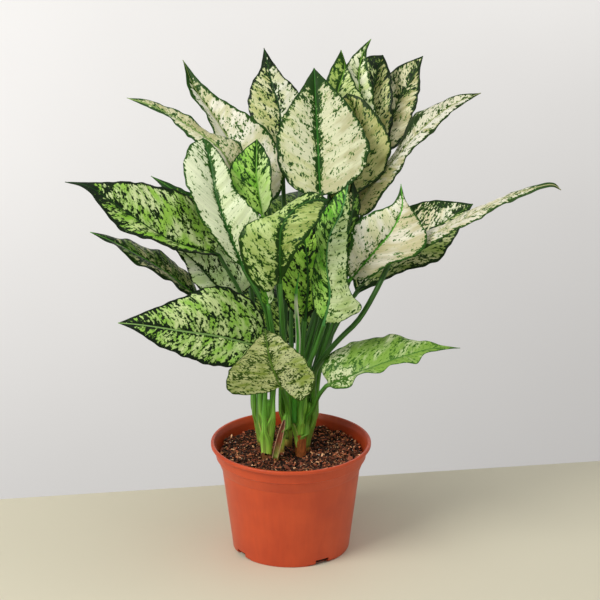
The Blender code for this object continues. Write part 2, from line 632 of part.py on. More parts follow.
def make_pot(group, cutters):
    """The pot, turned from its outline up the inside and down the outside, with notches in its foot."""
    lip_bottom = POT_HEIGHT - LIP_DEPTH
    profile = [
        (0.0, FLOOR),
        (wall_radius(FLOOR) - WALL, FLOOR),
        (wall_radius(SHOULDER_HEIGHT) - WALL, SHOULDER_HEIGHT),
        (BAND_RADIUS - 2 * WALL, BAND_BOTTOM),
        (BAND_RADIUS - WALL, lip_bottom - LIP_ROUND),
        (LIP_RADIUS - LIP_TOP_WIDTH - LIP_ROUND, POT_HEIGHT - LIP_ROUND),
        (LIP_RADIUS - LIP_TOP_WIDTH, POT_HEIGHT),
        (LIP_RADIUS - LIP_ROUND, POT_HEIGHT),
        (LIP_RADIUS, POT_HEIGHT - LIP_ROUND),
        (LIP_RADIUS, lip_bottom + LIP_ROUND),
        (LIP_RADIUS - LIP_ROUND, lip_bottom),
        (BAND_RADIUS, lip_bottom - LIP_ROUND),
        (BAND_RADIUS - BAND_DRAFT, BAND_BOTTOM + BAND_STEP_HALF),
        (BAND_RADIUS - BAND_DRAFT - BAND_STEP, BAND_BOTTOM - BAND_STEP_HALF),
        (SHOULDER_RADIUS, SHOULDER_HEIGHT + SHOULDER_HALF),
        (wall_radius(SHOULDER_HEIGHT), SHOULDER_HEIGHT - SHOULDER_HALF),
        (wall_radius(BASE_ROUND), BASE_ROUND),
        (BASE_RADIUS - BASE_ROUND, 0.0),
        (0.0, 0.0),
    ]
    rough = turned("pot", profile, POT_SIDES, group)
    mesh = apply_modifiers(rough)
    bpy.data.objects.remove(rough)
    pot = place("pot", mesh, material("orange brown plastic", (0.58, 0.13, 0.045), 0.42), group)
    notches = bpy.data.collections.new("pot notches")
    cutters.children.link(notches)
    for i, angle in enumerate(NOTCH_TURNS):
        turn = math.radians(angle)
        for label, width, height, start in (("notch", NOTCH_WIDTH, NOTCH_HEIGHT, NOTCH_INNER_RADIUS),
                                            ("step", STEP_WIDTH, STEP_HEIGHT, STEP_INNER_RADIUS)):
            middle = start + NOTCH_REACH / 2
            centre = (middle * math.sin(turn), -middle * math.cos(turn), 0.0)
            cutter = box_cutter(f"cut_{label}_{i}", (width, NOTCH_REACH, 2 * height), centre, turn, notches)
            difference(pot, cutter, f"{label} {i}")


def soil_height(x, y):
    """The height of the mix's lumpy top: a few soft waves that cross."""
    lumps = math.sin(x / 7.3 + 0.4) * math.cos(y / 6.1 - 1.0) + 0.6 * math.sin((x - y) / 4.7 + 2.0)
    return SOIL_TOP + LUMP * lumps


def make_soil(group, cutters):
    """The mix that fills the pot, with a plain hole for each stem."""
    room = WALL + SOIL_CLEARANCE
    profile = [(r, SOIL_TOP) for r in SOIL_RINGS]
    profile += [(BAND_RADIUS - 2 * WALL - SOIL_CLEARANCE, SOIL_TOP - SOIL_EDGE_DROP)]
    profile += [(wall_radius(SHOULDER_HEIGHT) - room, SHOULDER_HEIGHT)]
    profile += [(wall_radius(FLOOR) - room, FLOOR + GAP), (0.0, FLOOR + GAP)]
    rough = turned("soil", profile, SOIL_SIDES, group)
    mesh = apply_modifiers(rough)
    bpy.data.objects.remove(rough)
    for vert in mesh.vertices:
        x, y, z = (c / METRES for c in vert.co)
        if math.isclose(z, SOIL_TOP, abs_tol=SOIL_EDGE_DROP / 2):
            vert.co.z = soil_height(x, y) * METRES
    soil = place("soil", mesh, material("potting mix", (0.055, 0.032, 0.02), 0.95), group)
    for name, cane in CANES.items():
        radius = cane["radius"] * CANE_FOOT_WIDTH + HOLE_CLEARANCE
        add_hole(soil, name, cane["foot"], radius, CANE_HOLE_DEPTH, cutters)
    add_hole(soil, "pale_shoot", PALE_SHOOT["points"][0][:2], PALE_SHOOT["radii"][0] + HOLE_CLEARANCE,
             PALE_HOLE_DEPTH, cutters)


def add_hole(soil, label, foot, radius, depth, cutters):
    """A plain round hole in the soil for a stem, as deep below the mix's top as half of `depth`."""
    bm = bmesh.new()
    bmesh.ops.create_cone(bm, cap_ends=True, segments=16, radius1=radius * METRES,
                          radius2=radius * METRES, depth=depth * METRES)
    mesh = bpy.data.meshes.new(f"hole {label}")
    bm.to_mesh(mesh)
    bm.free()
    cutter = bpy.data.objects.new(f"cut_hole_{label}", mesh)
    cutter.location = (foot[0] * METRES, foot[1] * METRES, SOIL_TOP * METRES)
    cutter.hide_render = True
    cutter.display_type = "WIRE"
    cutters.objects.link(cutter)
    difference(soil, cutter, label)


def make_canes(group):
    """The thick stems, upright in the mix and rounded off where the last stalk leaves them."""
    green = material("green cane", (0.12, 0.32, 0.05), 0.5)
    for name, cane in CANES.items():
        heights, radii = zip(*cane_outline(cane))
        mesh = tube(name, [cane_axis(cane, height) for height in heights], radii, 3, group)
        place(name, mesh, green, group)


def make_spike(group):
    """The rolled new leaf: a slim tapered tube beside its cane."""
    foot = stalk_foot(SPIKE)
    rise = foot + np.array((0.0, 0.0, SPIKE_RISE))
    line = curve_through([foot, rise] + [seen(*p) for p in SPIKE["line"]])
    radii = [SPIKE["radius"] * width for width in SPIKE_WIDTHS]
    mesh = tube("new_leaf", points_along(line, SPIKE_STEPS), radii, 2, group)
    place("new_leaf", mesh, material("pale new leaf", (0.55, 0.68, 0.36), 0.45), group)


def make_pale_shoot(group):
    mesh = tube("pale_shoot", PALE_SHOOT["points"], PALE_SHOOT["radii"], 2, group)
    place("pale_shoot", mesh, material("pale shoot", (0.42, 0.55, 0.16), 0.5), group)


def make_sheath(group):
    """The dry sheath: a loft of gutter sections whose backs stand against the front shoot."""
    shoot = CANES["shoot_front"]
    outward = np.array((math.cos(SHEATH_FACING), math.sin(SHEATH_FACING), 0.0))
    bm = bmesh.new()
    rows = []
    for height, radius, half in SHEATH:
        middle = cane_axis(shoot, height) + outward * (shoot["radius"] + GAP + radius)
        row = []
        for reach in (radius, radius - SHEATH_SKIN):
            for angle in np.linspace(-half, half, SHEATH_POINTS) + SHEATH_FACING + math.pi:
                point = middle + reach * np.array((math.cos(angle), math.sin(angle), 0.0))
                row.append(bm.verts.new(point * METRES))
        rows.append((row[:SHEATH_POINTS], row[SHEATH_POINTS:]))
    for (outer, inner), (outer_up, inner_up) in zip(rows, rows[1:]):
        for k in range(SHEATH_POINTS - 1):
            bm.faces.new((outer[k], outer[k + 1], outer_up[k + 1], outer_up[k]))
            bm.faces.new((inner[k + 1], inner[k], inner_up[k], inner_up[k + 1]))
        for k in (0, -1):
            bm.faces.new((outer[k], outer_up[k], inner_up[k], inner[k]))
    for outer, inner in (rows[0], rows[-1]):
        for k in range(SHEATH_POINTS - 1):
            bm.faces.new((outer[k], outer[k + 1], inner[k + 1], inner[k]))
    bmesh.ops.recalc_face_normals(bm, faces=bm.faces)
    mesh = bpy.data.meshes.new("dry_sheath")
    bm.to_mesh(mesh)
    bm.free()
    place("dry_sheath", mesh, material("dry sheath", (0.42, 0.2, 0.12), 0.7), group)


def main():
    for obj in list(bpy.data.objects):
        bpy.data.objects.remove(obj)
    group = collection("potted chinese evergreen")
    cutters = collection("cutters")
    make_pot(group, cutters)
    make_soil(group, cutters)
    make_canes(group)
    make_spike(group)
    make_pale_shoot(group)
    make_sheath(group)
    variegated = material("variegated leaf", (0.5, 0.62, 0.3), 0.42)
    for name, leaf in LEAVES.items():
        place(name, leaf_mesh(name, leaf), variegated, group)


main()
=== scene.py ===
"""The looks of a potted chinese evergreen: a variegated foliage plant in a plastic nursery pot.

Lengths are millimetres until a mesh is made, and metres from there on. The plant faces -Y.
"""

import math

import bmesh
import bpy
import numpy as np
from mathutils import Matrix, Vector


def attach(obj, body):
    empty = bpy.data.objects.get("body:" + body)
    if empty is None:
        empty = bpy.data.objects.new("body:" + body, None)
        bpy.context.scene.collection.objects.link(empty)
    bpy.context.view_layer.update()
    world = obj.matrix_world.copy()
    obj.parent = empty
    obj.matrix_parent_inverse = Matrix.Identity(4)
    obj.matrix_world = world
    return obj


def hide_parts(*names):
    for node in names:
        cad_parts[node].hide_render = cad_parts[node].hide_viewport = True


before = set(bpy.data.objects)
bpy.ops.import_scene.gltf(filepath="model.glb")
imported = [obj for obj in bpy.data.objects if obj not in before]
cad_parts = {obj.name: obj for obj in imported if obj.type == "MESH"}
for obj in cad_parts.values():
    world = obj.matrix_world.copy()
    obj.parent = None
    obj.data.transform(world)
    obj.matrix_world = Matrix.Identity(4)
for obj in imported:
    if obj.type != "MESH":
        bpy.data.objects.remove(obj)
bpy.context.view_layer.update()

METRES = 0.001


# The pot
# A round nursery pot, moulded in one shot of orange-brown polypropylene, with a rolled lip, a stepped band
# that lets pots stack, and four notches in its foot that let water out.

POT_HEIGHT = 112.0
LIP_RADIUS = 80.0
LIP_DEPTH = 3.6
LIP_TOP_WIDTH = 2.4
BAND_RADIUS = 75.8
BAND_DRAFT = 0.9
BAND_BOTTOM = 97.0
BAND_STEP = 1.5
SHOULDER_RADIUS = 70.2
SHOULDER_STEP = 1.2
SHOULDER_HEIGHT = 86.0
BASE_RADIUS = 58.5
WALL = 1.6
FLOOR = 2.2
POT_SIDES = 160
SHARP_EDGE = math.radians(38)
NOTCH_TURNS = (-58.0, 32.0, 122.0, 212.0)
NOTCH_REACH = 23.0
# A notch and the shallow step round it: width, height and the distance from the axis where it starts.
NOTCHES = ((15.0, 5.5, 53.0), (30.0, 1.6, 55.5))


def placed(name, data):
    """An object in the scene that holds this mesh, lamp or camera."""
    made = bpy.data.objects.new(name, data)
    bpy.context.scene.collection.objects.link(made)
    return made


def fitted(piece, node=None):
    """Fixes a piece to the plant, and hides the solid that it stands for."""
    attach(piece, "root")
    if node:
        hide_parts(node)


def rounded(outline, steps=5):
    """The outline with each of its corners, given as (radius, height, rounding), turned into an arc."""
    points = []
    for i, (x, z, size) in enumerate(outline):
        corner = np.array((x, z))
        if size == 0.0:
            points.append(corner)
            continue
        before = np.array(outline[i - 1][:2]) - corner
        after = np.array(outline[i + 1][:2]) - corner
        start = corner + before / np.linalg.norm(before) * size
        end = corner + after / np.linalg.norm(after) * size
        for t in np.linspace(0.0, 1.0, steps):
            points.append(start * (1 - t) ** 2 + corner * 2 * t * (1 - t) + end * t ** 2)
    return points


def wall_radius(height):
    """The pot's outer radius at this height, below the shoulder."""
    return BASE_RADIUS + (SHOULDER_RADIUS - SHOULDER_STEP - BASE_RADIUS) * height / SHOULDER_HEIGHT


def turned_pot():
    """The pot's outline, up the inside and down the outside, turned round its axis."""
    lip_bottom = POT_HEIGHT - LIP_DEPTH
    outline = [
        (0.0, FLOOR, 0.0),
        (wall_radius(FLOOR) - WALL, FLOOR, 1.5),
        (wall_radius(SHOULDER_HEIGHT) - WALL, SHOULDER_HEIGHT, 1.5),
        (BAND_RADIUS - 2 * WALL, BAND_BOTTOM, 2.0),
        (BAND_RADIUS - WALL, lip_bottom - 1.2, 2.0),
        (LIP_RADIUS - LIP_TOP_WIDTH - 0.9, POT_HEIGHT - 0.5, 0.4),
        (LIP_RADIUS - LIP_TOP_WIDTH, POT_HEIGHT, 0.5),
        (LIP_RADIUS, POT_HEIGHT, 1.2),
        (LIP_RADIUS, lip_bottom, 1.0),
        (BAND_RADIUS + 0.1, lip_bottom - 0.9, 0.8),
        (BAND_RADIUS - BAND_DRAFT, BAND_BOTTOM + 0.3, 0.3),
        (BAND_RADIUS - BAND_DRAFT - BAND_STEP, BAND_BOTTOM - 0.9, 0.2),
        (SHOULDER_RADIUS, SHOULDER_HEIGHT + 1.2, 0.9),
        (wall_radius(SHOULDER_HEIGHT), SHOULDER_HEIGHT - 1.2, 0.8),
        (BASE_RADIUS, 0.0, 1.1),
        (0.0, 0.0, 0.0),
    ]
    mesh = bpy.data.meshes.new("nursery_pot")
    points = [(r * METRES, 0.0, z * METRES) for r, z in rounded(outline)]
    mesh.from_pydata(points, [(i, i + 1) for i in range(len(points) - 1)], [])
    made = placed("nursery_pot", mesh)
    screw = made.modifiers.new("turn", "SCREW")
    screw.steps = POT_SIDES
    screw.render_steps = POT_SIDES
    screw.use_merge_vertices = True
    screw.merge_threshold = 0.00001
    return made


def cut_notches(pot):
    """Cuts a drain notch and the shallow step round it four times into the foot."""
    cutters = []
    for turn in np.radians(NOTCH_TURNS):
        for width, height, start in NOTCHES:
            bm = bmesh.new()
            bmesh.ops.create_cube(bm, size=METRES)
            bmesh.ops.scale(bm, vec=(width, NOTCH_REACH, 2 * height), verts=bm.verts)
            mesh = bpy.data.meshes.new("notch cutter")
            bm.to_mesh(mesh)
            bm.free()
            cutter = placed("notch cutter", mesh)
            middle = (start + NOTCH_REACH / 2) * METRES
            cutter.location = (middle * math.sin(turn), -middle * math.cos(turn), 0.0)
            cutter.rotation_euler = (0.0, 0.0, turn)
            cut = pot.modifiers.new("notch", "BOOLEAN")
            cut.operation = "DIFFERENCE"
            cut.solver = "EXACT"
            cut.object = cutter
            cutters.append(cutter)
    graph = bpy.context.evaluated_depsgraph_get()
    mesh = bpy.data.meshes.new_from_object(pot.evaluated_get(graph))
    pot.modifiers.clear()
    pot.data = mesh
    for cutter in cutters:
        bpy.data.objects.remove(cutter)


def linear(code):
    """Linear colour from an sRGB hex code."""
    channels = [int(code[k:k + 2], 16) / 255 for k in (1, 3, 5)]
    return np.array([c / 12.92 if c <= 0.04045 else ((c + 0.055) / 1.055) ** 2.4 for c in channels])


def add(tree, kind, settings):
    """A shader node with its settings: properties, sockets' values, what feeds them, or colour stops."""
    node = tree.nodes.new("ShaderNode" + kind)
    for name, value in settings.items():
        if isinstance(value, bpy.types.Node):
            value = value.outputs[0]
        if name == "stops":
            for _ in value[2:]:
                node.color_ramp.elements.new(0.5)
            for element, (at, code) in zip(node.color_ramp.elements, value):
                element.position = at
                element.color = (*linear(code), 1.0)
        elif isinstance(value, bpy.types.NodeSocket):
            tree.links.new(value, node.inputs[name])
        elif isinstance(name, str) and hasattr(node, name):
            setattr(node, name, value)
        else:
            node.inputs[name].default_value = value
    return node


def new_material(name, roughness, ior):
    """A new material and its nodes, with what is the same all over it."""
    made = bpy.data.materials.new(name)
    made.use_nodes = True
    shader = made.node_tree.nodes["Principled BSDF"]
    shader.inputs["Roughness"].default_value = roughness
    shader.inputs["IOR"].default_value = ior
    return made, made.node_tree


def cells(tree, density, detail):
    """Soft noise that is fixed to the piece, with this many cells per metre along x, y and z."""
    place = add(tree, "NewGeometry", {}).outputs["Position"]
    at = add(tree, "VectorMath", {"operation": "MULTIPLY", 0: place, 1: density})
    return add(tree, "TexNoise", {"Scale": 1.0, "Detail": detail, "Vector": at})


def coated(made, colour, pattern=None, strength=0.0, depth=0.0):
    """The material with this colour, and with bumps after the pattern, `depth` metres deep."""
    tree = made.node_tree
    shader = tree.nodes["Principled BSDF"]
    tree.links.new(colour, shader.inputs["Base Color"])
    if pattern:
        bump = add(tree, "Bump", {"Strength": strength, "Distance": depth, "Height": pattern})
        tree.links.new(bump.outputs[0], shader.inputs["Normal"])
    return made


def moulded_polypropylene():
    """Moulded polypropylene: satin, with a fine grain from the tool and faint lengthwise flow streaks."""
    made, tree = new_material("moulded polypropylene", 0.4, 1.49)
    # Flow streaks stand 4 mm apart round the wall and run 60 mm along it.
    streaks = cells(tree, (250.0, 250.0, 16.0), 2.0)
    clouds = cells(tree, (28.0, 28.0, 28.0), 3.0)
    both = add(tree, "Math", {"operation": "MULTIPLY_ADD", 0: streaks, 1: 0.35, 2: clouds})
    # The tool's grain is about 0.15 mm, drawn as 0.5 mm so that it shows.
    grain = cells(tree, (2000.0, 2000.0, 2000.0), 1.0)
    orange = add(tree, "ValToRGB", {"Fac": both, "stops": ((0.5, "#C4461F"), (0.85, "#D25024"))})
    return coated(made, orange.outputs[0], grain, 0.12, 0.0001)


pot = turned_pot()
cut_notches(pot)
pot.data.materials.append(moulded_polypropylene())
pot.data.shade_smooth()
pot.data.set_sharp_from_angle(angle=SHARP_EDGE)
fitted(pot, "pot")


# The potting mix
# Damp peat with bark chips, poured in loose and pressed lightly by hand. Its crumbs are one to five
# millimetres, and it is heaped a little towards the walls.

SOIL_TOP = 97.5
SOIL_LUMP = 1.6
SOIL_REACH = 71.2
SOIL_HEAP = 3.2
HEAP_START = 38.0
HEAP_WIDTH = 33.0
MOUND = (-16.0, -14.0)
MOUND_HEIGHT = 1.2
MOUND_SPREAD = 200.0
CLUMP_RISE = 2.6
# How much paler the chips are painted at the right, where light falls on the mix: painted light.
PAINTED_RIGHT_LIGHT = 0.9
CRUMB_KINDS = (
    # count, smallest and largest radius, how long, how flat, colours
    (6800, 0.5, 1.5, 1.3, 0.8, ("#1B100B", "#2E1B13", "#4C2E20", "#22150E", "#5A3726")),
    (2600, 0.5, 1.5, 2.1, 0.6, ("#7C422C", "#9A5738", "#A85E3E", "#643626")),
    (900, 0.5, 1.3, 2.6, 0.45, ("#C08A62", "#DCAA80", "#B07850")),
    (70, 1.8, 3.6, 1.9, 0.4, ("#96523A", "#B8704C", "#743F2C")),
    (220, 0.35, 0.75, 1.2, 0.9, ("#EFE4D6", "#DCCBB4")),
    (260, 0.3, 0.45, 7.0, 1.0, ("#4A3022", "#9A7350")),
)


def soil_height(x, y, reach, turn):
    """The height of the mix's lumpy top, and how much higher it is heaped here."""
    lumps = math.sin(x / 7.3 + 0.4) * math.cos(y / 6.1 - 1.0) + 0.6 * math.sin((x - y) / 4.7 + 2.0)
    heap = SOIL_HEAP * max(0.0, (reach - HEAP_START) / HEAP_WIDTH) * (0.35 + 0.65 * math.cos(turn) ** 2)
    # A low mound lies at the front canes' foot.
    heap += MOUND_HEIGHT * math.exp(-((x - MOUND[0]) ** 2 + (y - MOUND[1]) ** 2) / MOUND_SPREAD)
    return SOIL_TOP + SOIL_LUMP * lumps, heap


def clump_height(x, y):
    """How far the crumbs of a clump stand above the mix: clumps are about 10 mm across."""
    swell = math.sin(x / 1.9 + 1.3 * math.sin(y / 5.3)) * math.sin(y / 1.7 + 1.1 * math.sin(x / 6.1 + 1.0))
    return CLUMP_RISE * max(0.0, swell + 0.25 * math.sin((x + y) / 2.9))


def mottled(tree, colour, pattern, low, high, dark, bright):
    """The colour, `dark` times as light where the pattern is low and `bright` times where it is high."""
    shade = add(tree, "MapRange", {"From Min": low, "From Max": high, "To Min": dark, "To Max": bright,
                                   "Value": pattern})
    return add(tree, "VectorMath", {"operation": "SCALE", 0: colour, "Scale": shade}).outputs[0]


def damp_peat():
    """Damp peat: nearly black, dull and rough, with colours from chip to chip."""
    made, tree = new_material("damp peat", 0.85, 1.4)
    chip = add(tree, "Attribute", {"attribute_name": "chip"})
    grit = cells(tree, (1400.0, 1400.0, 1400.0), 3.0)
    return coated(made, mottled(tree, chip, grit, 0.3, 0.7, 0.55, 1.35), grit, 0.6, 0.0004)


def base_peat():
    """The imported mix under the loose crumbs: the same peat in one dark tone."""
    made, tree = new_material("packed peat", 0.9, 1.4)
    grit = cells(tree, (700.0, 700.0, 700.0), 4.0)
    dark = add(tree, "ValToRGB", {"Fac": grit, "stops": ((0.35, "#120B08"), (0.7, "#3A2418"))})
    return coated(made, dark.outputs[0], grit, 0.8, 0.0008)


def keep_values(mesh, name, values, colour=True):
    """Keeps a colour, or else a vector, for each point of the mesh."""
    layer = mesh.attributes.new(name, "FLOAT_COLOR" if colour else "FLOAT_VECTOR", "POINT")
    values = np.reshape(values, (-1, 3))
    if colour:
        values = np.append(values, np.ones((len(values), 1)), axis=1)
    layer.data.foreach_set("color" if colour else "vector", values.astype(np.float32).ravel())


def crumbs(name, kinds, seed, clear):
    """Loose crumbs of these kinds in one mesh, each a lopsided twenty-sided stone with its own colour."""
    draw = np.random.default_rng(seed)
    bm = bmesh.new()
    bmesh.ops.create_icosphere(bm, subdivisions=1, radius=1.0)
    stone = np.array([v.co for v in bm.verts])
    sides = np.array([[v.index for v in f.verts] for f in bm.faces])
    bm.free()
    points, faces, tones = [], [], []
    for count, small, large, length, flat, colours in kinds:
        laid = 0
        while laid < count:
            reach = SOIL_REACH * math.sqrt(draw.uniform(0.0, 1.0))
            turn = draw.uniform(0.0, 2 * math.pi)
            size = small + (large - small) * draw.uniform(0.0, 1.0) ** 2
            x, y = reach * math.cos(turn), reach * math.sin(turn)
            long = size * draw.uniform(1.0, length)
            if reach + 0.7 * long > SOIL_REACH + 0.6 or any(
                    math.hypot(x - cx, y - cy) < radius + 0.6 * size for cx, cy, radius in clear):
                continue
            top, heap = soil_height(x, y, reach, turn)
            level = top + heap * draw.uniform(0.3, 1.0) + size * draw.uniform(-0.3, 0.5)
            level += clump_height(x, y) * draw.uniform(0.1, 1.0)
            shape = stone * (long, size, size * flat) * draw.uniform(0.72, 1.2, (len(stone), 1))
            swing = draw.uniform(0.0, 2 * math.pi)
            tilt = draw.normal(0.0, 0.35)
            c, s = math.cos(swing), math.sin(swing)
            ct, st = math.cos(tilt), math.sin(tilt)
            tipped = shape @ ((ct, 0, st), (0, 1, 0), (-st, 0, ct))
            faces.append(sides + len(points) * len(stone))
            points.append(tipped @ ((c, s, 0), (-s, c, 0), (0, 0, 1)) + (x, y, level))
            tone = linear(colours[draw.integers(len(colours))]) * draw.uniform(0.6, 1.4)
            # Painted light: the chips are paler towards the right, where light falls on the mix.
            tone = tone * (1.3 + PAINTED_RIGHT_LIGHT * max(0.0, x) / SOIL_REACH)
            tones.append(np.tile(tone, (len(stone), 1)))
            laid += 1
    mesh = bpy.data.meshes.new(name)
    mesh.from_pydata((np.concatenate(points) * METRES).tolist(), [], np.concatenate(faces).tolist())
    keep_values(mesh, "chip", np.concatenate(tones))
    mesh.materials.append(peat)
    fitted(placed(name, mesh))


# The canes
# The plant's thick stems, which grew up out of the mix. They are fleshy and green, ringed where old leaves
# fell, paler towards the foot, and wrapped in the sheaths of the stalks that they carry.

CANE_BOTTOM = 88.0
LEAN_START = SOIL_TOP + 4.0
CANE_FOOT_WIDTH = 0.88
CANE_TOP_WIDTH = 0.86
CANE_END_WIDTH = 0.5
CANE_END = 3.0
CANE_ANGLES = np.linspace(0.0, 2 * math.pi, 28, endpoint=False)
CANE_RIBS = 0.12
CANE_RING_STEP = 11.0
CANE_RING_DEPTH = 0.25
CANES = {
    "stem_left": dict(foot=(-24.0, -9.0), top=(-22.5, -7.0, 158.0), radius=6.2),
    "stem_right": dict(foot=(9.5, -1.5), top=(7.2, 1.0, 160.0), radius=5.2),
    "stem_far_right": dict(foot=(14.8, 9.4), top=(19.0, 2.0, 152.0), radius=4.4),
    "stem_middle": dict(foot=(-3.0, 22.0), top=(-3.0, 24.0, 168.0), radius=4.8),
    "stem_back_left": dict(foot=(-30.0, 26.0), top=(-31.0, 28.0, 160.0), radius=4.8),
    "stem_back_right": dict(foot=(13.0, 30.0), top=(15.0, 32.0, 166.0), radius=4.8),
    "shoot_front": dict(foot=(-14.5, -17.0), top=(-4.0, -9.5, 146.0), radius=3.2),
}


def mix(first, second, share):
    """The first where the share is 0, the second where it is 1."""
    return first * (1 - share) + second * share


def cane_axis(cane, height):
    """The middle of a cane at this height. It is upright in the soil and leans above it."""
    share = np.maximum(0.0, (height - LEAN_START) / (cane["top"][2] - LEAN_START))
    x, y = (mix(cane["foot"][k], cane["top"][k], share) for k in (0, 1))
    return np.stack((x, y, height + 0 * share), axis=-1)


def cane_radius(cane, height):
    """The cane's radius at this height: slim at its foot, full half way up, rounded off at its top."""
    top = cane["top"][2]
    heights = (LEAN_START, (LEAN_START + top) / 2, top - CANE_END, top)
    widths = (CANE_FOOT_WIDTH, 1.0, CANE_TOP_WIDTH, CANE_END_WIDTH)
    return cane["radius"] * np.interp(height, heights, widths)


def fleshy_cane():
    """Living stem skin: fresh green with fine lengthwise fibres, yellow to brown where it meets the mix."""
    made, tree = new_material("fleshy cane skin", 0.42, 1.42)
    place = add(tree, "NewGeometry", {}).outputs["Position"]
    height = add(tree, "SeparateXYZ", {0: place}).outputs["Z"]
    # Fibres are about 0.8 mm apart and run 25 mm along the stem.
    fibres = cells(tree, (1250.0, 1250.0, 40.0), 2.0)
    wander = add(tree, "Math", {"operation": "MULTIPLY_ADD", 0: fibres, 1: 0.012, 2: height})
    along = add(tree, "MapRange", {"From Min": 0.103, "From Max": 0.160, "Value": wander})
    greens = ((0.0, "#7A5430"), (0.1, "#BCA24C"), (0.22, "#BCDC5C"), (0.5, "#92CE48"), (1.0, "#78BA3E"))
    green = add(tree, "ValToRGB", {"Fac": along, "stops": greens})
    return coated(made, mottled(tree, green, fibres, 0.3, 0.7, 0.9, 1.3), fibres, 0.25, 0.0002)


def around(axis, angles, reach):
    """Level points at these angles round the axis and this far from it."""
    return axis + np.stack((reach * np.cos(angles), reach * np.sin(angles), 0 * angles), axis=-1)


def ring_mesh(name, rings, material, node=None):
    """A closed skin over rings of points, which run up the piece and go round it alike."""
    rings = np.array(rings)
    rows, count = rings.shape[:2]
    start = np.arange((rows - 1) * count).reshape(-1, count)
    after = np.roll(start, -1, axis=1)
    faces = np.stack((start, after, after + count, start + count), axis=-1).reshape(-1, 4).tolist()
    faces += [list(range(count))[::-1], list(range((rows - 1) * count, rows * count))]
    mesh = bpy.data.meshes.new(name)
    mesh.from_pydata((rings.reshape(-1, 3) * METRES).tolist(), [], faces)
    mesh.materials.append(material)
    mesh.shade_smooth()
    fitted(placed(name, mesh), node)
    return mesh


cane_skin = fleshy_cane()
for number, (name, cane) in enumerate(CANES.items()):
    top = cane["top"][2]
    rings = []
    lower = np.arange(CANE_BOTTOM, top - CANE_END, 1.25)
    for height in np.append(lower, np.linspace(top - CANE_END, top, 5)):
        nearest = abs((height - SOIL_TOP - 2.0 * number) % CANE_RING_STEP - CANE_RING_STEP / 2)
        radius = cane_radius(cane, height) - CANE_RING_DEPTH * math.exp(-nearest ** 2) - 0.1
        radius = radius + CANE_RIBS * np.cos(4 * CANE_ANGLES + height / 30.0 + number)
        rings.append(around(cane_axis(cane, height), CANE_ANGLES, radius))
    ring_mesh(f"cane_{name}", rings, cane_skin, name)

peat = damp_peat()
stem_feet = [(*cane["foot"], cane["radius"]) for cane in CANES.values()] + [(-9.0, -2.0, 2.8)]
crumbs("peat_crumbs", CRUMB_KINDS[:1], 3, stem_feet)
crumbs("bark_chips", CRUMB_KINDS[1:], 4, stem_feet)
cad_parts["soil"].material_slots[0].material = base_peat()


# The small shoots
# A rolled new leaf and a pale young shoot, which grow up beside the canes, and the dry, papery sheaths that
# older leaves left behind: one stands open against the front shoot, two wrap the canes' feet.

SPIKE = dict(cane="stem_right", height=134, turn=235,
             line=[(5, 172, 22), (7, 203, 30), (5, 248, 38), (8, 270, 39)], radius=2.5)
SPIKE_SHARES = np.linspace(0.0, 1.0, 60)
SPIKE_SIDES = 36
ROLL_INNER = 0.86
ROLL_STEP = 0.17
STRIPE_MIDDLE = 8.6
STRIPE_WIDTH = 4.4
SPIKE_RISE = 12.0
SPIKE_WIDTHS = (1.0, 0.98, 0.95, 1.0, 1.0, 0.85, 0.6, 0.12)
SPIKE_WIDTH_STEPS = (0.0, 0.15, 0.3, 0.45, 0.6, 0.75, 0.88, 1.0)
PALE_SHOOT = ((-9.0, -2.0, 84.0), (-9.2, -1.6, 100.0), (-8.4, -0.6, 114.0), (-7.6, 0.4, 128.0))
PALE_SHOOT_RADII = ((0.0, 0.36, 0.68, 0.9, 1.0), (2.6, 2.6, 2.0, 1.0, 0.2))
SHEATH_FACING = math.radians(255.0)
SHEATH_SKIN = 0.7
# The sheath's height, radius and half of the angle that it spans, from its foot to its tip.
DRY_SHEATH = ((102.0, 2.9, 1.5), (110.0, 3.2, 1.6), (120.0, 3.2, 1.5), (130.0, 2.8, 1.3), (136.0, 2.2, 1.2),
              (140.0, 1.5, 1.0))
FOOT_BOTTOM = 94.0
FOOT_SKIN = 0.45
FOOT_POINTS = 25
TEAR_DEPTH = 5.0
GAP = 0.3
STALK_FOOT_RADIUS = 2.7

# The viewer's eye, from which the leaves are set out: across is to the right of the pot's axis and up is
# above its foot, both as they look beside the pot, and toward is how far a point stands before the axis.
EYE = np.array((9.0, -2216.0, 1034.0))
VIEW_PITCH = math.radians(19.24)
VIEW_REACH = 2400.0
SIGHT_RISE = 243.0


def seen(across, up, toward):
    """The point that looks `across` and `up` from the pot's foot and stands `toward` before its axis."""
    forward = np.array((0.0, math.cos(VIEW_PITCH), -math.sin(VIEW_PITCH)))
    upward = np.array((0.0, math.sin(VIEW_PITCH), math.cos(VIEW_PITCH)))
    sight = forward * VIEW_REACH + upward * (up - SIGHT_RISE)
    sight[0] += across - EYE[0]
    return EYE + sight * ((-toward - EYE[1]) / sight[1])


def curve_through(points, steps=16):
    """A smooth line through the points, a centripetal Catmull-Rom curve."""
    given = [np.array(p, float) for p in points]
    given = [2 * given[0] - given[1]] + given + [2 * given[-1] - given[-2]]
    line = []
    for a, b, c, d in zip(given, given[1:], given[2:], given[3:]):
        at_b = np.linalg.norm(b - a) ** 0.5
        at_c = at_b + np.linalg.norm(c - b) ** 0.5
        at_d = at_c + np.linalg.norm(d - c) ** 0.5
        for t in np.linspace(at_b, at_c, steps, endpoint=False):
            ab = mix(a, b, t / at_b)
            bc = mix(b, c, (t - at_b) / (at_c - at_b))
            cd = mix(c, d, (t - at_c) / (at_d - at_c))
            line.append(mix(mix(ab, bc, t / at_c), mix(bc, cd, (t - at_b) / (at_d - at_b)),
                            (t - at_b) / (at_c - at_b)))
    line.append(given[-2])
    return np.array(line)


def seen_curve(points, start=()):
    """A smooth line through these points as they are seen, and through the start's points before them."""
    return curve_through([*start, *(seen(*p) for p in points)])


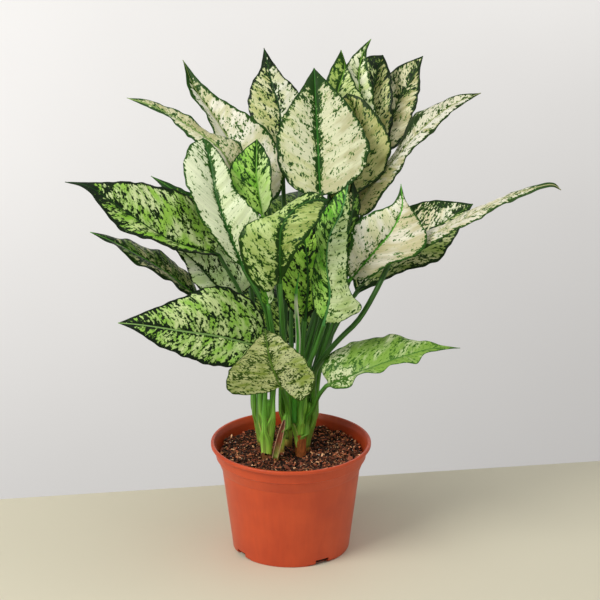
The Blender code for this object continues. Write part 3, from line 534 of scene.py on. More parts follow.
def step_lengths(line):
    """The distances from each of the line's points to the next."""
    return np.linalg.norm(np.diff(line, axis=0), axis=1)


def points_along(line, shares):
    """The points at these shares of the line's length."""
    lengths = np.concatenate(([0.0], np.cumsum(step_lengths(line))))
    return np.stack([np.interp(shares * lengths[-1], lengths, line[:, k]) for k in range(3)], axis=1)


def unit(vectors):
    """The vectors, each scaled to a length of one."""
    return vectors / np.maximum(np.linalg.norm(vectors, axis=-1, keepdims=True), 1e-9)


def directions(line, shares):
    """The line's direction at these shares of its length."""
    after = points_along(line, np.minimum(1.0, shares + 0.02))
    return unit(after - points_along(line, np.maximum(0.0, shares - 0.02)))


def stalk_foot(leaf):
    """Where the stalk's middle starts, beside its cane."""
    cane = CANES[leaf["cane"]]
    reach = cane_radius(cane, leaf["height"]) + STALK_FOOT_RADIUS + GAP
    return around(cane_axis(cane, leaf["height"]), np.radians(leaf["turn"]), reach)


def swept(line, shares, radii, count):
    """Rings square to the line, which start facing +X and follow it without turning."""
    rings = []
    across = np.array((1.0, 0.0, 0.0))
    angles = np.linspace(math.pi, -math.pi, count, endpoint=False)[:, None]
    for centre, along, radius in zip(points_along(line, shares), directions(line, shares), radii):
        across = unit(across - along * across.dot(along))
        rings.append(centre + radius * (np.cos(angles) * across + np.sin(angles) * np.cross(across, along)))
    return rings


def rolled_leaf():
    """A new leaf's rolled blade: cream, with a green stripe along the roll, a green tip and a green foot."""
    made, tree = new_material("rolled leaf blade", 0.4, 1.42)
    roll = add(tree, "Attribute", {"attribute_name": "roll"})
    flecks = cells(tree, (900.0, 900.0, 60.0), 3.0)
    return coated(made, mottled(tree, roll, flecks, 0.35, 0.65, 0.85, 1.15))


def papery_skin():
    """Dead sheath: brown and dull with darker wrinkles along it, tan to pink at its thin rims."""
    made, tree = new_material("papery dry sheath", 0.7, 1.4)
    rims = add(tree, "Attribute", {"attribute_name": "rims"})
    wrinkles = cells(tree, (1100.0, 1100.0, 90.0), 3.0)
    return coated(made, mottled(tree, rims, wrinkles, 0.3, 0.7, 0.6, 1.3), wrinkles, 0.5, 0.0004)


def there_and_back(values, axis=0):
    """The values, and then the same ones the other way round."""
    return np.concatenate((values, np.flip(values, axis)), axis)


foot = stalk_foot(SPIKE)
line = seen_curve(SPIKE["line"], (foot, foot + (0.0, 0.0, SPIKE_RISE)))
radii = SPIKE["radius"] * np.interp(SPIKE_SHARES, SPIKE_WIDTH_STEPS, SPIKE_WIDTHS)
rings = swept(line, SPIKE_SHARES, radii, SPIKE_SIDES)
tones = []
k = np.arange(SPIKE_SIDES)
for share, ring in zip(SPIKE_SHARES, rings):
    # The roll's outer edge is a step of 0.5 mm that winds once round the spike.
    winding = ((k - int(SPIKE_SIDES * (0.15 + 0.9 * share))) % SPIKE_SIDES) / SPIKE_SIDES
    centre = ring.mean(axis=0)
    ring[:] = centre + (ring - centre) * (ROLL_INNER + ROLL_STEP * winding)[:, None]
    # The front of the roll is where k is 9: a green stripe runs left of it, cream to both sides.
    stripe = np.exp(-((k - STRIPE_MIDDLE) / STRIPE_WIDTH) ** 4) * np.clip((0.84 - share) / 0.12, 0, 1)
    ends = max(np.clip((share - 0.82) / 0.06, 0, 1), np.clip((0.36 - share) / 0.1, 0, 1))
    tones.append(mix(linear("#F6F8DC"), linear("#4A9C30"), np.maximum(stripe, ends)[:, None]))
keep_values(ring_mesh("rolled_new_leaf", rings, rolled_leaf(), "new_leaf"), "roll", tones)

shares = np.linspace(0.0, 1.0, 30)
ring_mesh("young_shoot", swept(curve_through(PALE_SHOOT), shares, np.interp(shares, *PALE_SHOOT_RADII), 24),
          cane_skin, "pale_shoot")

papery = papery_skin()
shoot = CANES["shoot_front"]
green = linear("#8FA84A")
turns = there_and_back(np.linspace(-1.0, 1.0, 15))
inside = np.repeat((0.0, 1.0), 15)
outward = np.array((math.cos(SHEATH_FACING), math.sin(SHEATH_FACING), 0.0))
steps, radii, halves = np.transpose(DRY_SHEATH)
rings, tones = [], []
for share in np.linspace(0.0, 1.0, 40):
    height = mix(steps[0], steps[-1], share)
    radius = np.interp(height, steps, radii)
    middle = cane_axis(shoot, height) + outward * (shoot["radius"] + GAP + radius)
    crease = 0.18 * np.sin(7 * turns + height / 5.0)
    reach = radius - inside * SHEATH_SKIN * (1.0 - 0.45 * turns ** 4) + crease * (1 - abs(turns))
    rings.append(around(middle, SHEATH_FACING + math.pi + np.interp(height, steps, halves) * turns, reach))
    brown = mix(linear("#8B4B2E"), linear("#4A2420"), share ** 3)
    tone = np.where(inside[:, None] > 0, mix(brown, green, max(0.0, 1.0 - share / 0.45)),
                    mix(green, brown, share))
    tones.append(mix(tone, linear("#DDB08C"), (turns ** 6)[:, None]))
keep_values(ring_mesh("dry_open_sheath", rings, papery, "dry_sheath"), "rims", tones)


def papery_foot(name, cane, top, half, colour, seed):
    """A dry sheath that wraps part of a cane's foot, with a torn upper edge and curled sides."""
    draw = np.random.default_rng(seed)
    depths = draw.uniform(0.0, TEAR_DEPTH, FOOT_POINTS + 2)
    tears = there_and_back(np.convolve(depths, (0.25, 0.5, 0.25), "valid"))
    turns = there_and_back(np.linspace(-1.0, 1.0, FOOT_POINTS))
    skin = FOOT_SKIN * np.repeat((0.0, 1.0), FOOT_POINTS)
    rings, tones = [], []
    for share in np.linspace(0.0, 1.0, 16):
        height = mix(FOOT_BOTTOM, top - tears, share)
        lift = 0.35 + 0.9 * abs(turns) ** 5 + 0.7 * share ** 6 + 0.12 * np.sin(9 * turns + 5 * share)
        rings.append(around(cane_axis(cane, height), math.radians(262) + half * turns,
                            cane_radius(cane, height) + lift - skin))
        tones.append(linear(colour) * (0.75 + 0.5 * draw.uniform(size=2 * FOOT_POINTS))[:, None])
    keep_values(ring_mesh(name, rings, papery), "rims", tones)


papery_foot("dry_foot_right", CANES["stem_right"], 122.0, 1.75, "#B86A32", 11)
papery_foot("dry_foot_left", CANES["stem_left"], 106.0, 0.7, "#8A5A30", 12)


# The leaves
# Thick, satin leaves on long fleshy stalks, whose sheaths wrap the canes. Each grew as one piece: a cream
# to yellow-green blade, marked dark green along its veins, margin and midrib.

STALK_RADIUS = 2.2
STALK_RISE = 14.0
STALK_SHARES = np.linspace(0.0, 1.0, 24)
SHEATH_DROP = 34.0
SHEATH_SHARES = np.linspace(1.0, 0.06, 12)
SHEATH_THICKNESS = 0.25
SHEATH_RIM = 0.12
SHEATH_TOP_ANGLE = 0.42
SHEATH_WRAP = 1.05
BLADE_SHARES = np.concatenate((np.linspace(0.008, 0.08, 8), np.linspace(0.08, 1.0, 84)[1:]))
BASE_ROWS = int(np.argmax(BLADE_SHARES >= 0.05))
HALF_ACROSS = (0.02, 0.05, 0.09, 0.14, 0.2, 0.27, 0.35, 0.44, 0.53, 0.62, 0.7, 0.78, 0.85, 0.91, 0.96, 1.0)
ACROSS = np.concatenate((-np.array(HALF_ACROSS[::-1]), (0.0,), HALF_ACROSS))
ACROSS_COUNT = len(ACROSS)
RING_ANGLES = math.pi - (np.arange(ACROSS_COUNT) + 0.5) * math.pi / ACROSS_COUNT
TIP_WIDTH = 0.4
BASE_THICKNESS = 1.0
TIP_THICKNESS = 0.6
BASE_MIDRIB = 1.25
TIP_MIDRIB = 0.5
ARCH = 0.07
WAVE_LAG = 1.9
RIPPLE_HEIGHT = 0.55
RIPPLE_LENGTH = 17.0
SWELL_HEIGHT = 0.4
SWELL_LENGTH = 10.5
MARGIN_SWAY = 0.6
SWAY_LENGTHS = (23.0, 10.7)
KEEL_HEIGHT = 1.5
KEEL_WIDTH = 1.5
GROOVE_DEPTH = 0.45
GROOVE_WIDTH = 1.1
VEIN_SLANT = 0.55
VEIN_BEND = 0.25
MARK_LEVEL = 0.55
RIM_WEIGHT = 0.05
SPECK_LEAN = 28.0
SPECK_LONG = 4.1
SPECK_WIDE = 2.1
LEAF_SEED = 7.31
HALF_SEED = 3.7
TONES = ("ground", "wash", "deep", "midrib")

# Each leaf names its cane, the height and turn at which its stalk leaves it (0 is right, 90 is back), the
# points that the stalk passes, and three lines from the blade's base to its tip: the midrib and the two
# margins, left and right as one looks along the leaf at its upper face. Then come its colours, left and
# right half where they differ: ground, wash (the second ground colour), dark marks and midrib. Waves are the
# margin's height, number and start in turns. Marks say how much of each half is marked, margin and feather
# the width and weight of the dark margin and of the feathering along the midrib, tip and base how much more
# is marked there, and washing how much more is washed, in all and near the base. Specks are the marks' size
# and their lean in degrees. A patch names a half (-1 is left, 1 is right), the shares of the blade's length
# where it starts and ends, how far out it starts, and how much more is marked there. On a few leaves some
# colours, washes and patches are painted shade, as each leaf says. Stalks may say how light they are, which
# is partly their own tone and partly painted shade, darker for the crown's stalks at the back; their radius,
# and how far down the cane their sheath drops.
LEAVES = {
    "leaf_crown_front": dict(
        cane="stem_middle", height=150, turn=300, stalk=[(14, 230, -22), (24, 290, -18)],
        rib=[(29, 344, -20), (27, 393, -62), (25, 433, -98), (23, 475, -128)],
        left=[(4, 354, -18), (-12, 378, -38), (-15, 403, -58), (-5, 431, -82), (8, 451, -105)],
        right=[(52, 354, -18), (72, 372, -35), (79, 396, -56), (69, 420, -80), (55, 441, -98),
            (39, 459, -115)],
        # Its wash and the extra wash near its base are painted shade: greener and darker on its lower half,
        # and tan in the folds at its lower right.
        ground="#D8DAB4", wash=("#C6CA92", "#BEBC90"), deep="#1F3F0E", midrib="#2F6A1C",
        waves=(2.0, 2.5, 0.1), marks=(-0.06, -0.07), margin=(7.0, 0.12), feather=(9.0, 0.125), tip=0.05,
        washing=(-0.05, 0.1), specks=(1.0, 22), stalk_tone=0.65),
    "leaf_crown_left": dict(
        cane="stem_middle", height=140, turn=205, stalk=[(-10, 230, -30), (-17, 285, -28)],
        rib=[(-22, 335, -35), (-48, 380, -75), (-77, 426, -110), (-98, 458, -128), (-108, 483, -140)],
        left=[(-38, 355, -38), (-62, 388, -60), (-84, 424, -90), (-101, 452, -114)],
        right=[(-10, 352, -48), (-6, 380, -72), (-22, 411, -95), (-46, 430, -106), (-74, 447, -118),
            (-92, 463, -129)],
        ground=("#ECEAD8", "#EAE7D4"), wash=("#D4D4AE", "#CCCB9E"), deep="#23470F", midrib="#A8BC70",
        waves=(2.0, 3.0, 0.3), marks=(-0.085, -0.065), margin=(5.5, 0.17), feather=(6.0, 0.06), tip=0.07,
        specks=(1.0, 24), stalk_tone=0.7),
    "leaf_crown_back_left": dict(
        cane="stem_middle", height=158, turn=150, stalk=[(-5, 240, -48), (-6, 300, -62)],
        rib=[(-8, 365, -85), (-12, 436, -135), (-19, 459, -150), (-27, 495, -175)],
        left=[(-30, 390, -105), (-42, 430, -130), (-41, 455, -145), (-31, 474, -160)],
        right=[(12, 388, -110), (22, 420, -130), (10, 447, -145), (-10, 470, -160)],
        ground=("#DADAAC", "#E8E8D2"), wash=("#BCC07C", "#D6D8AA"), deep="#12240A", midrib="#1F4416",
        waves=(1.5, 2.0, 0.6), marks=(-0.055, -0.07), margin=(4.5, 0.16), feather=(9.0, 0.08), tip=0.03,
        specks=(1.0, 20), stalk_tone=0.6),
    "leaf_far_left_upper": dict(
        cane="stem_back_left", height=142, turn=172, stalk=[(-38, 240, -28), (-46, 300, -25)],
        rib=[(-50, 350, -22), (-69, 391, -35), (-95, 412, -55), (-118, 426, -72), (-141, 438, -85),
            (-164, 445, -95)],
        left=[(-64, 362, -10), (-80, 384, -20), (-96, 400, -38), (-115, 420, -60), (-136, 432, -80)],
        right=[(-42, 376, -42), (-52, 398, -55), (-83, 413, -66), (-106, 428, -80), (-137, 442, -93)],
        ground=("#E0DFC2", "#D3D0A8"), wash=("#CFCEA2", "#B9B682"), deep="#27491A", midrib="#7F9A50",
        waves=(2.0, 3.0, 0.0), marks=(-0.075, -0.06), margin=(4.5, 0.17), feather=(5.0, 0.06), tip=0.03,
        specks=(0.9, 24), stalk_tone=0.7),
    "leaf_crown_folded": dict(
        cane="stem_middle", height=156, turn=0, stalk=[(26, 240, -45), (34, 310, -58)],
        rib=[(40, 360, -75), (42, 410, -110), (47, 451, -135), (54, 478, -150), (50, 493, -155)],
        left=[(16, 395, -100), (26, 435, -124), (37, 468, -143)],
        right=[(62, 385, -92), (76, 435, -120), (66, 456, -135), (58, 473, -146)],
        ground=("#B4C86E", "#D2DE9C"), wash=("#92AC4C", "#B6CA74"), deep="#22420E", midrib="#6F9C38",
        waves=(1.5, 2.0, 0.2), marks=(-0.02, -0.05), margin=(4.0, 0.15), feather=(6.0, 0.08), stalk_tone=0.6),
    "leaf_crown_right": dict(
        cane="stem_right", height=152, turn=90, stalk=[(24, 220, -14), (38, 280, -26)],
        rib=[(40, 338, -44), (60, 380, -78), (66, 420, -104), (56, 450, -122)],
        left=[(34, 370, -72), (38, 410, -98), (46, 438, -112)],
        right=[(68, 350, -58), (92, 370, -72), (100, 400, -86), (86, 428, -100), (70, 445, -112)],
        # Its olive ground and wash are painted shade: a cream leaf lying in shade behind leaf_crown_front.
        ground=("#B8B86A", "#C6C684"), wash=("#8E8F4A", "#A4A562"), deep="#22380E", midrib="#5E7A30",
        waves=(2.0, 2.5, 0.5), marks=(-0.055, -0.06), margin=(4.5, 0.16), feather=(5.0, 0.06), tip=0.03,
        stalk_tone=0.7),
    "leaf_crown_tip": dict(
        cane="stem_back_right", height=156, turn=110, stalk=[(34, 240, -60), (48, 310, -78)],
        rib=[(60, 375, -100), (70, 430, -135), (68, 470, -160), (72, 490, -170), (80, 504, -180)],
        left=[(44, 418, -130), (48, 465, -155), (62, 487, -167), (73, 498, -176)],
        right=[(84, 415, -128), (83, 445, -142), (77, 475, -158), (76, 492, -168)],
        ground="#F4F8D4", wash="#D2E09A", deep="#22420E", midrib="#6F9C38",
        waves=(1.5, 2.0, 0.4), marks=(-0.085, -0.075), margin=(4.0, 0.14), feather=(5.0, 0.07), tip=0.03,
        stalk_tone=0.6),
    "leaf_crown_dark": dict(
        cane="stem_back_right", height=148, turn=65, stalk=[(25, 180, -50), (36, 235, -78), (56, 305, -108)],
        rib=[(74, 368, -116), (80, 425, -154), (84, 464, -180), (92, 488, -194)],
        left=[(60, 425, -162), (62, 465, -188), (76, 486, -196)],
        right=[(98, 405, -136), (102, 440, -152), (100, 465, -169), (95, 482, -186)],
        ground=("#DCE4A6", "#D2D498"), wash=("#949F50", "#9F9C5C"), deep="#13240A", midrib="#24441A",
        waves=(1.5, 2.0, 0.7), marks=(-0.015, -0.03), margin=(4.0, 0.14), feather=(5.0, 0.06), tip=0.02,
        stalk_tone=0.65),
    "leaf_crown_far": dict(
        cane="stem_back_right", height=140, turn=20, stalk=[(32, 180, -42), (46, 228, -68), (64, 304, -112)],
        rib=[(84, 372, -126), (97, 412, -154), (108, 443, -172), (120, 462, -184), (132, 487, -198)],
        left=[(82, 412, -176), (88, 455, -202), (108, 477, -204)],
        right=[(95, 389, -132), (107, 399, -138), (118, 414, -146), (128, 450, -168), (129, 472, -186)],
        ground="#E8E4BC", wash="#B2AD78", deep="#1A2C10", midrib="#324F1C",
        waves=(1.5, 2.0, 0.9), marks=(-0.035, -0.04), margin=(4.5, 0.15), feather=(5.0, 0.06), tip=0.03,
        stalk_tone=0.6),
    "leaf_right_upper": dict(
        cane="stem_far_right", height=148, turn=103, stalk=[(25, 175, -15), (37, 218, -22), (50, 270, -33)],
        rib=[(60, 325, -50), (82, 358, -68), (106, 386, -88), (133, 416, -108), (162, 438, -120),
            (190, 450, -126)],
        left=[(62, 350, -78), (90, 373, -104), (104, 393, -120), (114, 409, -130), (122, 427, -138),
            (134, 435, -140), (148, 440, -138), (168, 448, -131)],
        right=[(78, 330, -42), (98, 357, -58), (122, 392, -80), (146, 416, -96), (172, 439, -114)],
        # Its extra wash near the base and its dark patch on the left half are painted shade, where the leaf
        # lies in shade.
        ground=("#E0DCC2", "#E6E3D0"), wash=("#A8A266", "#B5B078"), deep="#22380E", midrib="#98A064",
        waves=(1.5, 3.5, 0.2), marks=(-0.05, -0.065), margin=(4.0, 0.15), feather=(4.0, 0.05),
        washing=(-0.16, 0.5), patches=((-1, 0.5, 0.68, 0.45, 0.18),), stalk_tone=0.75),
    "leaf_right_sliver": dict(
        cane="stem_far_right", height=150, turn=147, stalk=[(26, 205, -8), (38, 240, -4)],
        rib=[(48, 268, -8), (57, 310, -14), (62, 342, -24), (61, 365, -34)],
        left=[(46, 292, -12), (51, 318, -16), (57, 345, -26)],
        right=[(58, 290, -12), (66, 314, -16), (69, 342, -26)],
        ground=("#C4C48C", "#6E9040"), wash=("#8E9052", "#42601F"), deep="#182C0C", midrib="#27451A",
        waves=(0.6, 1.5, 0.0), marks=(-0.06, 0.01), margin=(2.0, 0.1), feather=(4.0, 0.04), stalk_tone=0.9),
    "leaf_right_front": dict(
        cane="stem_far_right", height=142, turn=0, stalk=[(31, 186, 8), (44, 224, 9)],
        rib=[(58, 262, 12), (82, 290, 15), (100, 311, 15), (111, 335, 9), (110, 359, 0)],
        left=[(55, 276, 20), (58, 298, 20), (65, 320, 14), (82, 331, 8), (101, 339, 5), (107, 348, 3)],
        right=[(76, 264, 22), (100, 279, 30), (130, 290, 30), (136, 306, 24), (126, 327, 13), (115, 342, 6)],
        ground=("#E9E8D4", "#E2DEC8"), wash=("#D6D8AC", "#C8C296"), deep="#2C5418", midrib="#58A030",
        waves=(1.6, 2.5, 0.6), marks=(-0.065, -0.085), margin=(5.0, 0.16), feather=(3.0, 0.06),
        specks=(0.85, 30), stalk_tone=0.75),
    "leaf_far_right": dict(
        cane="stem_far_right", height=136, turn=318, stalk=[(24, 172, 15), (34, 188, 20), (50, 206, 26),
        (67, 223, 28), (85, 253, 22)],
        rib=[(101, 287, 4), (135, 305, 9), (170, 322, 22), (205, 341, 32), (240, 354, 36), (262, 358, 35),
            (270, 353, 33)],
        left=[(116, 302, -16), (150, 317, -10), (185, 335, 10), (215, 347, 23), (244, 358, 31),
            (263, 360, 33)],
        right=[(122, 289, 13), (150, 304, 32), (185, 323, 42), (215, 339, 43), (245, 352, 40),
            (261, 356, 38)],
        ground="#E4E0CC", wash="#D0CAA4", deep="#2E4C1A", midrib="#B0B07C",
        waves=(1.0, 4.0, 0.3), marks=(-0.065, -0.06), margin=(4.0, 0.17), feather=(3.0, 0.03), tip=0.08,
        specks=(0.9, 20), stalk_tone=0.7, stalk_radius=2.9),
    "leaf_right_back": dict(
        cane="stem_far_right", height=142, turn=46, stalk=[(33, 190, -4), (50, 226, -10)],
        rib=[(66, 252, -18), (95, 280, -28), (130, 305, -38), (160, 325, -44), (182, 339, -48)],
        left=[(68, 280, -52), (92, 318, -74), (125, 340, -70), (155, 342, -58)],
        right=[(90, 262, -6), (120, 273, -6), (148, 284, -12), (163, 303, -24), (176, 328, -40)],
        ground=("#ECECD2", "#D6D8A4"), wash=("#D8CFAA", "#9CB060"), deep="#1A3210", midrib="#3A6020",
        waves=(1.5, 2.5, 0.1), marks=(-0.02, -0.02), margin=(3.5, 0.15), feather=(5.0, 0.05),
        stalk_tone=0.75, patches=((-1, 0.5, 1.1, 0.5, 0.07),)),
    "leaf_left_long": dict(
        cane="stem_left", height=140, turn=165, stalk=[(-34, 200, 12), (-48, 245, 14)],
        rib=[(-72, 288, 22), (-122, 303, 45), (-165, 331, 58), (-204, 357, 62), (-226, 361, 62)],
        left=[(-95, 289, 48), (-130, 299, 72), (-165, 311, 82), (-190, 335, 78), (-207, 355, 67)],
        right=[(-74, 308, 2), (-100, 344, 2), (-140, 359, 20), (-180, 361, 45), (-207, 361, 58)],
        ground=("#D2E696", "#DAE8AA"), wash=("#8CC43A", "#9CCB50"), deep="#0F2208", midrib="#1E4214",
        waves=(1.6, 3.0, 0.8), marks=(-0.025, -0.035), margin=(5.0, 0.17), feather=(4.0, 0.06), tip=0.1,
        specks=(1.1, 30), stalk_tone=0.7, drop=38),
    "leaf_left_hidden": dict(
        cane="stem_back_left", height=136, turn=218, stalk=[(-44, 225, -24), (-54, 265, -25)],
        rib=[(-62, 300, -24), (-95, 333, -27), (-118, 353, -32), (-140, 367, -38)],
        left=[(-76, 303, -14), (-102, 326, -17), (-122, 350, -27)],
        right=[(-72, 322, -31), (-93, 346, -33), (-115, 357, -36)],
        ground="#7FA04A", wash="#567E2C", deep="#1E4212", midrib="#4A7E2C",
        waves=(0.8, 2.0, 0.0), marks=(0.06, 0.06), margin=(3.0, 0.15), feather=(4.0, 0.04), stalk_tone=0.7),
    "leaf_left_front": dict(
        cane="stem_left", height=150, turn=215, stalk=[(-22, 200, 30), (-25, 232, 41)],
        rib=[(-47, 274, 37), (-61, 307, 32), (-75, 347, 16), (-81, 382, -5), (-88, 405, -25)],
        left=[(-64, 288, 40), (-84, 316, 42), (-102, 350, 32), (-107, 378, 14), (-102, 397, -8)],
        right=[(-33, 294, 38), (-30, 324, 32), (-54, 352, 14), (-66, 381, -6), (-80, 400, -20)],
        ground=("#E6EEC8", "#DEE8C0"), wash=("#DCE6BE", "#D0DCAC"), deep="#274F14", midrib="#2F6426",
        waves=(2.2, 3.5, 0.4), marks=(-0.085, -0.08), margin=(3.5, 0.14), feather=(5.5, 0.13), tip=0.04,
        specks=(0.9, 30), stalk_tone=0.8, drop=24),
    "leaf_left_small": dict(
        cane="stem_left", height=152, turn=60, stalk=[(-22, 230, 4), (-26, 285, 4)],
        rib=[(-28, 326, 0), (-34, 365, -16), (-34, 404, -36)],
        left=[(-48, 340, 2), (-62, 368, -12), (-53, 388, -26)],
        right=[(-20, 340, 6), (-19, 362, 0), (-24, 390, -20)],
        ground=("#B2D86C", "#C8E098"), wash=("#80BC3E", "#AACE70"), deep="#1A400A", midrib="#78AC44",
        waves=(1.2, 2.0, 0.2), marks=(-0.035, -0.085), margin=(2.5, 0.12), feather=(2.0, 0.03), tip=0.05,
        stalk_tone=1.05, patches=((1, 0.55, 1.1, -0.2, 0.09),)),
    "leaf_left_bud": dict(
        cane="stem_left", height=148, turn=305, stalk=[(-15, 184, 32), (-19, 214, 46)],
        rib=[(-23, 238, 49), (-24, 247, 51), (-28, 259, 50)],
        left=[(-28, 241, 46), (-31, 250, 46)],
        right=[(-17, 243, 54), (-17, 253, 54), (-22, 259, 52)],
        ground=("#6F9A34", "#DCE8C0"), wash=("#4F8424", "#B8D090"), deep="#1E4A10", midrib="#4A8A24",
        waves=(0.3, 1.5, 0.0), marks=(-0.02, -0.06), margin=(2.0, 0.1), feather=(2.0, 0.05)),
    "leaf_centre_front": dict(
        cane="stem_right", height=140, turn=188, stalk=[(-6, 190, 30), (-9, 228, 50)],
        rib=[(-11, 260, 60), (-11, 290, 68), (-9, 316, 68), (4, 334, 60), (22, 343, 52), (38, 343, 46)],
        left=[(-24, 251, 60), (-43, 267, 60), (-51, 291, 62), (-49, 314, 58), (-22, 328, 50), (2, 343, 44),
            (22, 351, 42)],
        right=[(2, 284, 76), (12, 302, 82), (25, 318, 76), (31, 330, 66), (35, 338, 54)],
        ground=("#BFD28A", "#B4C476"), wash=("#A0B664", "#8E9E50"), deep="#1C3A0A", midrib="#2C5A1A",
        waves=(1.6, 2.5, 0.0), marks=(-0.05, -0.04), margin=(4.5, 0.16), feather=(7.0, 0.1), base=0.05,
        specks=(1.0, 40), stalk_tone=1.15),
    "leaf_centre_hanging": dict(
        cane="stem_right", height=136, turn=284, stalk=[(16, 172, 20), (25, 195, 32)],
        rib=[(33, 218, 42), (39, 250, 50), (36, 275, 50), (38, 305, 38), (50, 330, 25), (57, 358, 10)],
        left=[(24, 234, 38), (20, 255, 38), (25, 285, 32), (26, 318, 18), (40, 343, 12)],
        right=[(52, 222, 52), (71, 236, 50), (60, 250, 52), (56, 275, 48), (57, 302, 36), (59, 335, 20)],
        ground=("#BCE678", "#DAEAB4"), wash=("#74BE38", "#B4CC84"), deep="#1A4410", midrib="#4F8A4A",
        waves=(1.8, 3.5, 0.9), marks=(-0.03, -0.055), margin=(2.5, 0.1), feather=(4.0, 0.04), tip=0.05,
        stalk_tone=1.0, drop=16),
    "leaf_centre_inner": dict(
        cane="stem_right", height=156, turn=325, stalk=[(11, 180, 2), (12, 200, 4)],
        rib=[(14, 222, 4), (17, 262, 6), (14, 300, -2), (6, 335, -16)],
        left=[(-4, 238, 8), (-12, 265, 6), (-6, 300, -6)],
        right=[(28, 240, 6), (34, 268, 6), (28, 305, -6)],
        ground="#B4E060", wash="#74B030", deep="#0E1E08", midrib="#2C5A1C",
        waves=(1.2, 2.0, 0.5), marks=(-0.025, -0.025), margin=(4.0, 0.14), feather=(4.0, 0.05)),
    "leaf_low_front": dict(
        cane="shoot_front", height=134, turn=312, stalk=[(-5, 142, 30)],
        rib=[(-9, 155, 42), (-16, 170, 66), (-22, 188, 95), (-26, 214, 128)],
        left=[(8, 143, 46), (22, 153, 58), (24, 168, 75), (10, 187, 98), (-10, 206, 118)],
        right=[(-28, 150, 46), (-56, 148, 56), (-65, 160, 72), (-57, 178, 92), (-40, 197, 112)],
        ground=("#EEFAC6", "#E2EEB0"), wash=("#A8C45C", "#98B450"), deep="#2C500C", midrib="#5C8A2A",
        waves=(1.6, 3.0, 0.3), marks=(-0.04, -0.035), margin=(2.5, 0.1), feather=(5.0, 0.06),
        stalk_tone=0.7, drop=12, washing=(-0.04, 0.0)),
    "leaf_left_narrow": dict(
        cane="stem_back_left", height=130, turn=264, stalk=[(-46, 195, -4), (-68, 222, 2)],
        rib=[(-92, 244, 8), (-124, 270, 22), (-155, 289, 32), (-182, 303, 34), (-201, 311, 32)],
        left=[(-106, 250, 22), (-136, 271, 42), (-150, 276, 48), (-172, 294, 44)],
        right=[(-98, 262, -8), (-124, 287, 0), (-152, 299, 10), (-180, 307, 24)],
        ground=("#E0D4AC", "#D8CCA2"), wash=("#5E8632", "#6C8E3C"), deep="#17300C", midrib="#5CA034",
        waves=(1.6, 4.0, 0.1), marks=(0.0, 0.0), margin=(4.0, 0.14), feather=(4.0, 0.05), tip=0.06),
    "leaf_left_inner": dict(
        cane="stem_left", height=144, turn=115, stalk=[(-34, 195, 2), (-46, 222, 8)],
        rib=[(-60, 246, 14), (-75, 258, 18), (-95, 280, 20), (-124, 304, 18)],
        left=[(-72, 247, 24), (-96, 258, 30), (-107, 280, 28), (-117, 296, 24)],
        right=[(-44, 253, 2), (-33, 268, -6), (-48, 287, -12), (-76, 302, -10), (-104, 307, 4)],
        ground=("#FAFFE4", "#EEFACC"), wash=("#D2EAA4", "#C8E49A"), deep="#10230A", midrib="#1E4214",
        waves=(1.0, 2.0, 0.0), marks=(-0.095, -0.05), margin=(4.0, 0.14), feather=(4.0, 0.06),
        stalk_tone=0.8),
    "leaf_low_left": dict(
        cane="stem_left", height=132, turn=250, stalk=[(-25, 172, 30)],
        rib=[(-31, 196, 46), (-70, 206, 68), (-110, 212, 90), (-150, 218, 104), (-173, 220, 106)],
        left=[(-33, 183, 60), (-60, 176, 84), (-95, 182, 100), (-130, 196, 110), (-155, 212, 110)],
        right=[(-27, 222, 31), (-42, 245, 26), (-74, 257, 40), (-110, 246, 64), (-146, 231, 92)],
        ground="#D0E09C", wash="#94C44C", deep="#0D1E08", midrib="#84A85E",
        waves=(1.4, 2.5, 0.7), marks=(-0.025, -0.03), margin=(5.0, 0.13), feather=(5.0, 0.07), tip=0.04,
        specks=(1.1, 45), stalk_tone=1.1, drop=31),
    "leaf_low_right": dict(
        cane="stem_right", height=122, turn=335, stalk=[(22, 134, 15), (28, 148, 27)],
        rib=[(35, 157, 34), (60, 167, 42), (91, 179, 46), (118, 188, 46), (140, 194, 44), (169, 195, 40)],
        left=[(31, 175, 24), (40, 190, 16), (60, 200, 9), (72, 202, 8), (94, 208, 12), (121, 204, 25),
            (137, 201, 34), (150, 198, 40)],
        right=[(40, 155, 40), (56, 155, 52), (68, 167, 58), (88, 172, 61), (106, 178, 62), (115, 181, 60),
            (125, 180, 59), (134, 188, 54), (148, 193, 48)],
        ground="#D6E0B0", wash="#84AA48", deep="#3A641C", midrib="#4F7E2C",
        waves=(1.8, 4.5, 0.5), marks=(-0.045, -0.045), margin=(2.0, 0.07), feather=(3.0, 0.02), base=0.03,
        washing=(0.12, -0.15), stalk_tone=0.85, drop=8, specks=(0.8, 28)),
    "leaf_back_left": dict(
        cane="stem_back_left", height=150, turn=84, stalk=[(-34, 215, -52)],
        rib=[(-42, 262, -66), (-58, 300, -100), (-72, 330, -134), (-84, 346, -168)],
        left=[(-66, 290, -84), (-92, 322, -112), (-98, 344, -146)],
        right=[(-32, 292, -98), (-42, 326, -136), (-62, 346, -158)],
        ground="#DDE2B8", wash="#C6D098", deep="#2B5418", midrib="#3C6E26",
        waves=(1.6, 2.5, 0.2), marks=(-0.05, -0.05), margin=(5.0, 0.15), feather=(6.0, 0.08)),
    "leaf_back_middle": dict(
        cane="stem_middle", height=150, turn=50, stalk=[(0, 215, -56)],
        rib=[(2, 262, -80), (4, 305, -118), (6, 338, -158), (8, 352, -196)],
        left=[(-22, 280, -92), (-32, 318, -132), (-18, 345, -172)],
        right=[(26, 280, -92), (38, 318, -132), (30, 345, -172)],
        # Its darker green ground and wash are painted shade, for the shade between the crown leaves in front
        # of it.
        ground="#98B05C", wash="#6E8C3C", deep="#1A3A10", midrib="#3C6E26",
        waves=(1.6, 2.5, 0.6), marks=(0.01, 0.01), margin=(5.0, 0.15), feather=(6.0, 0.08)),
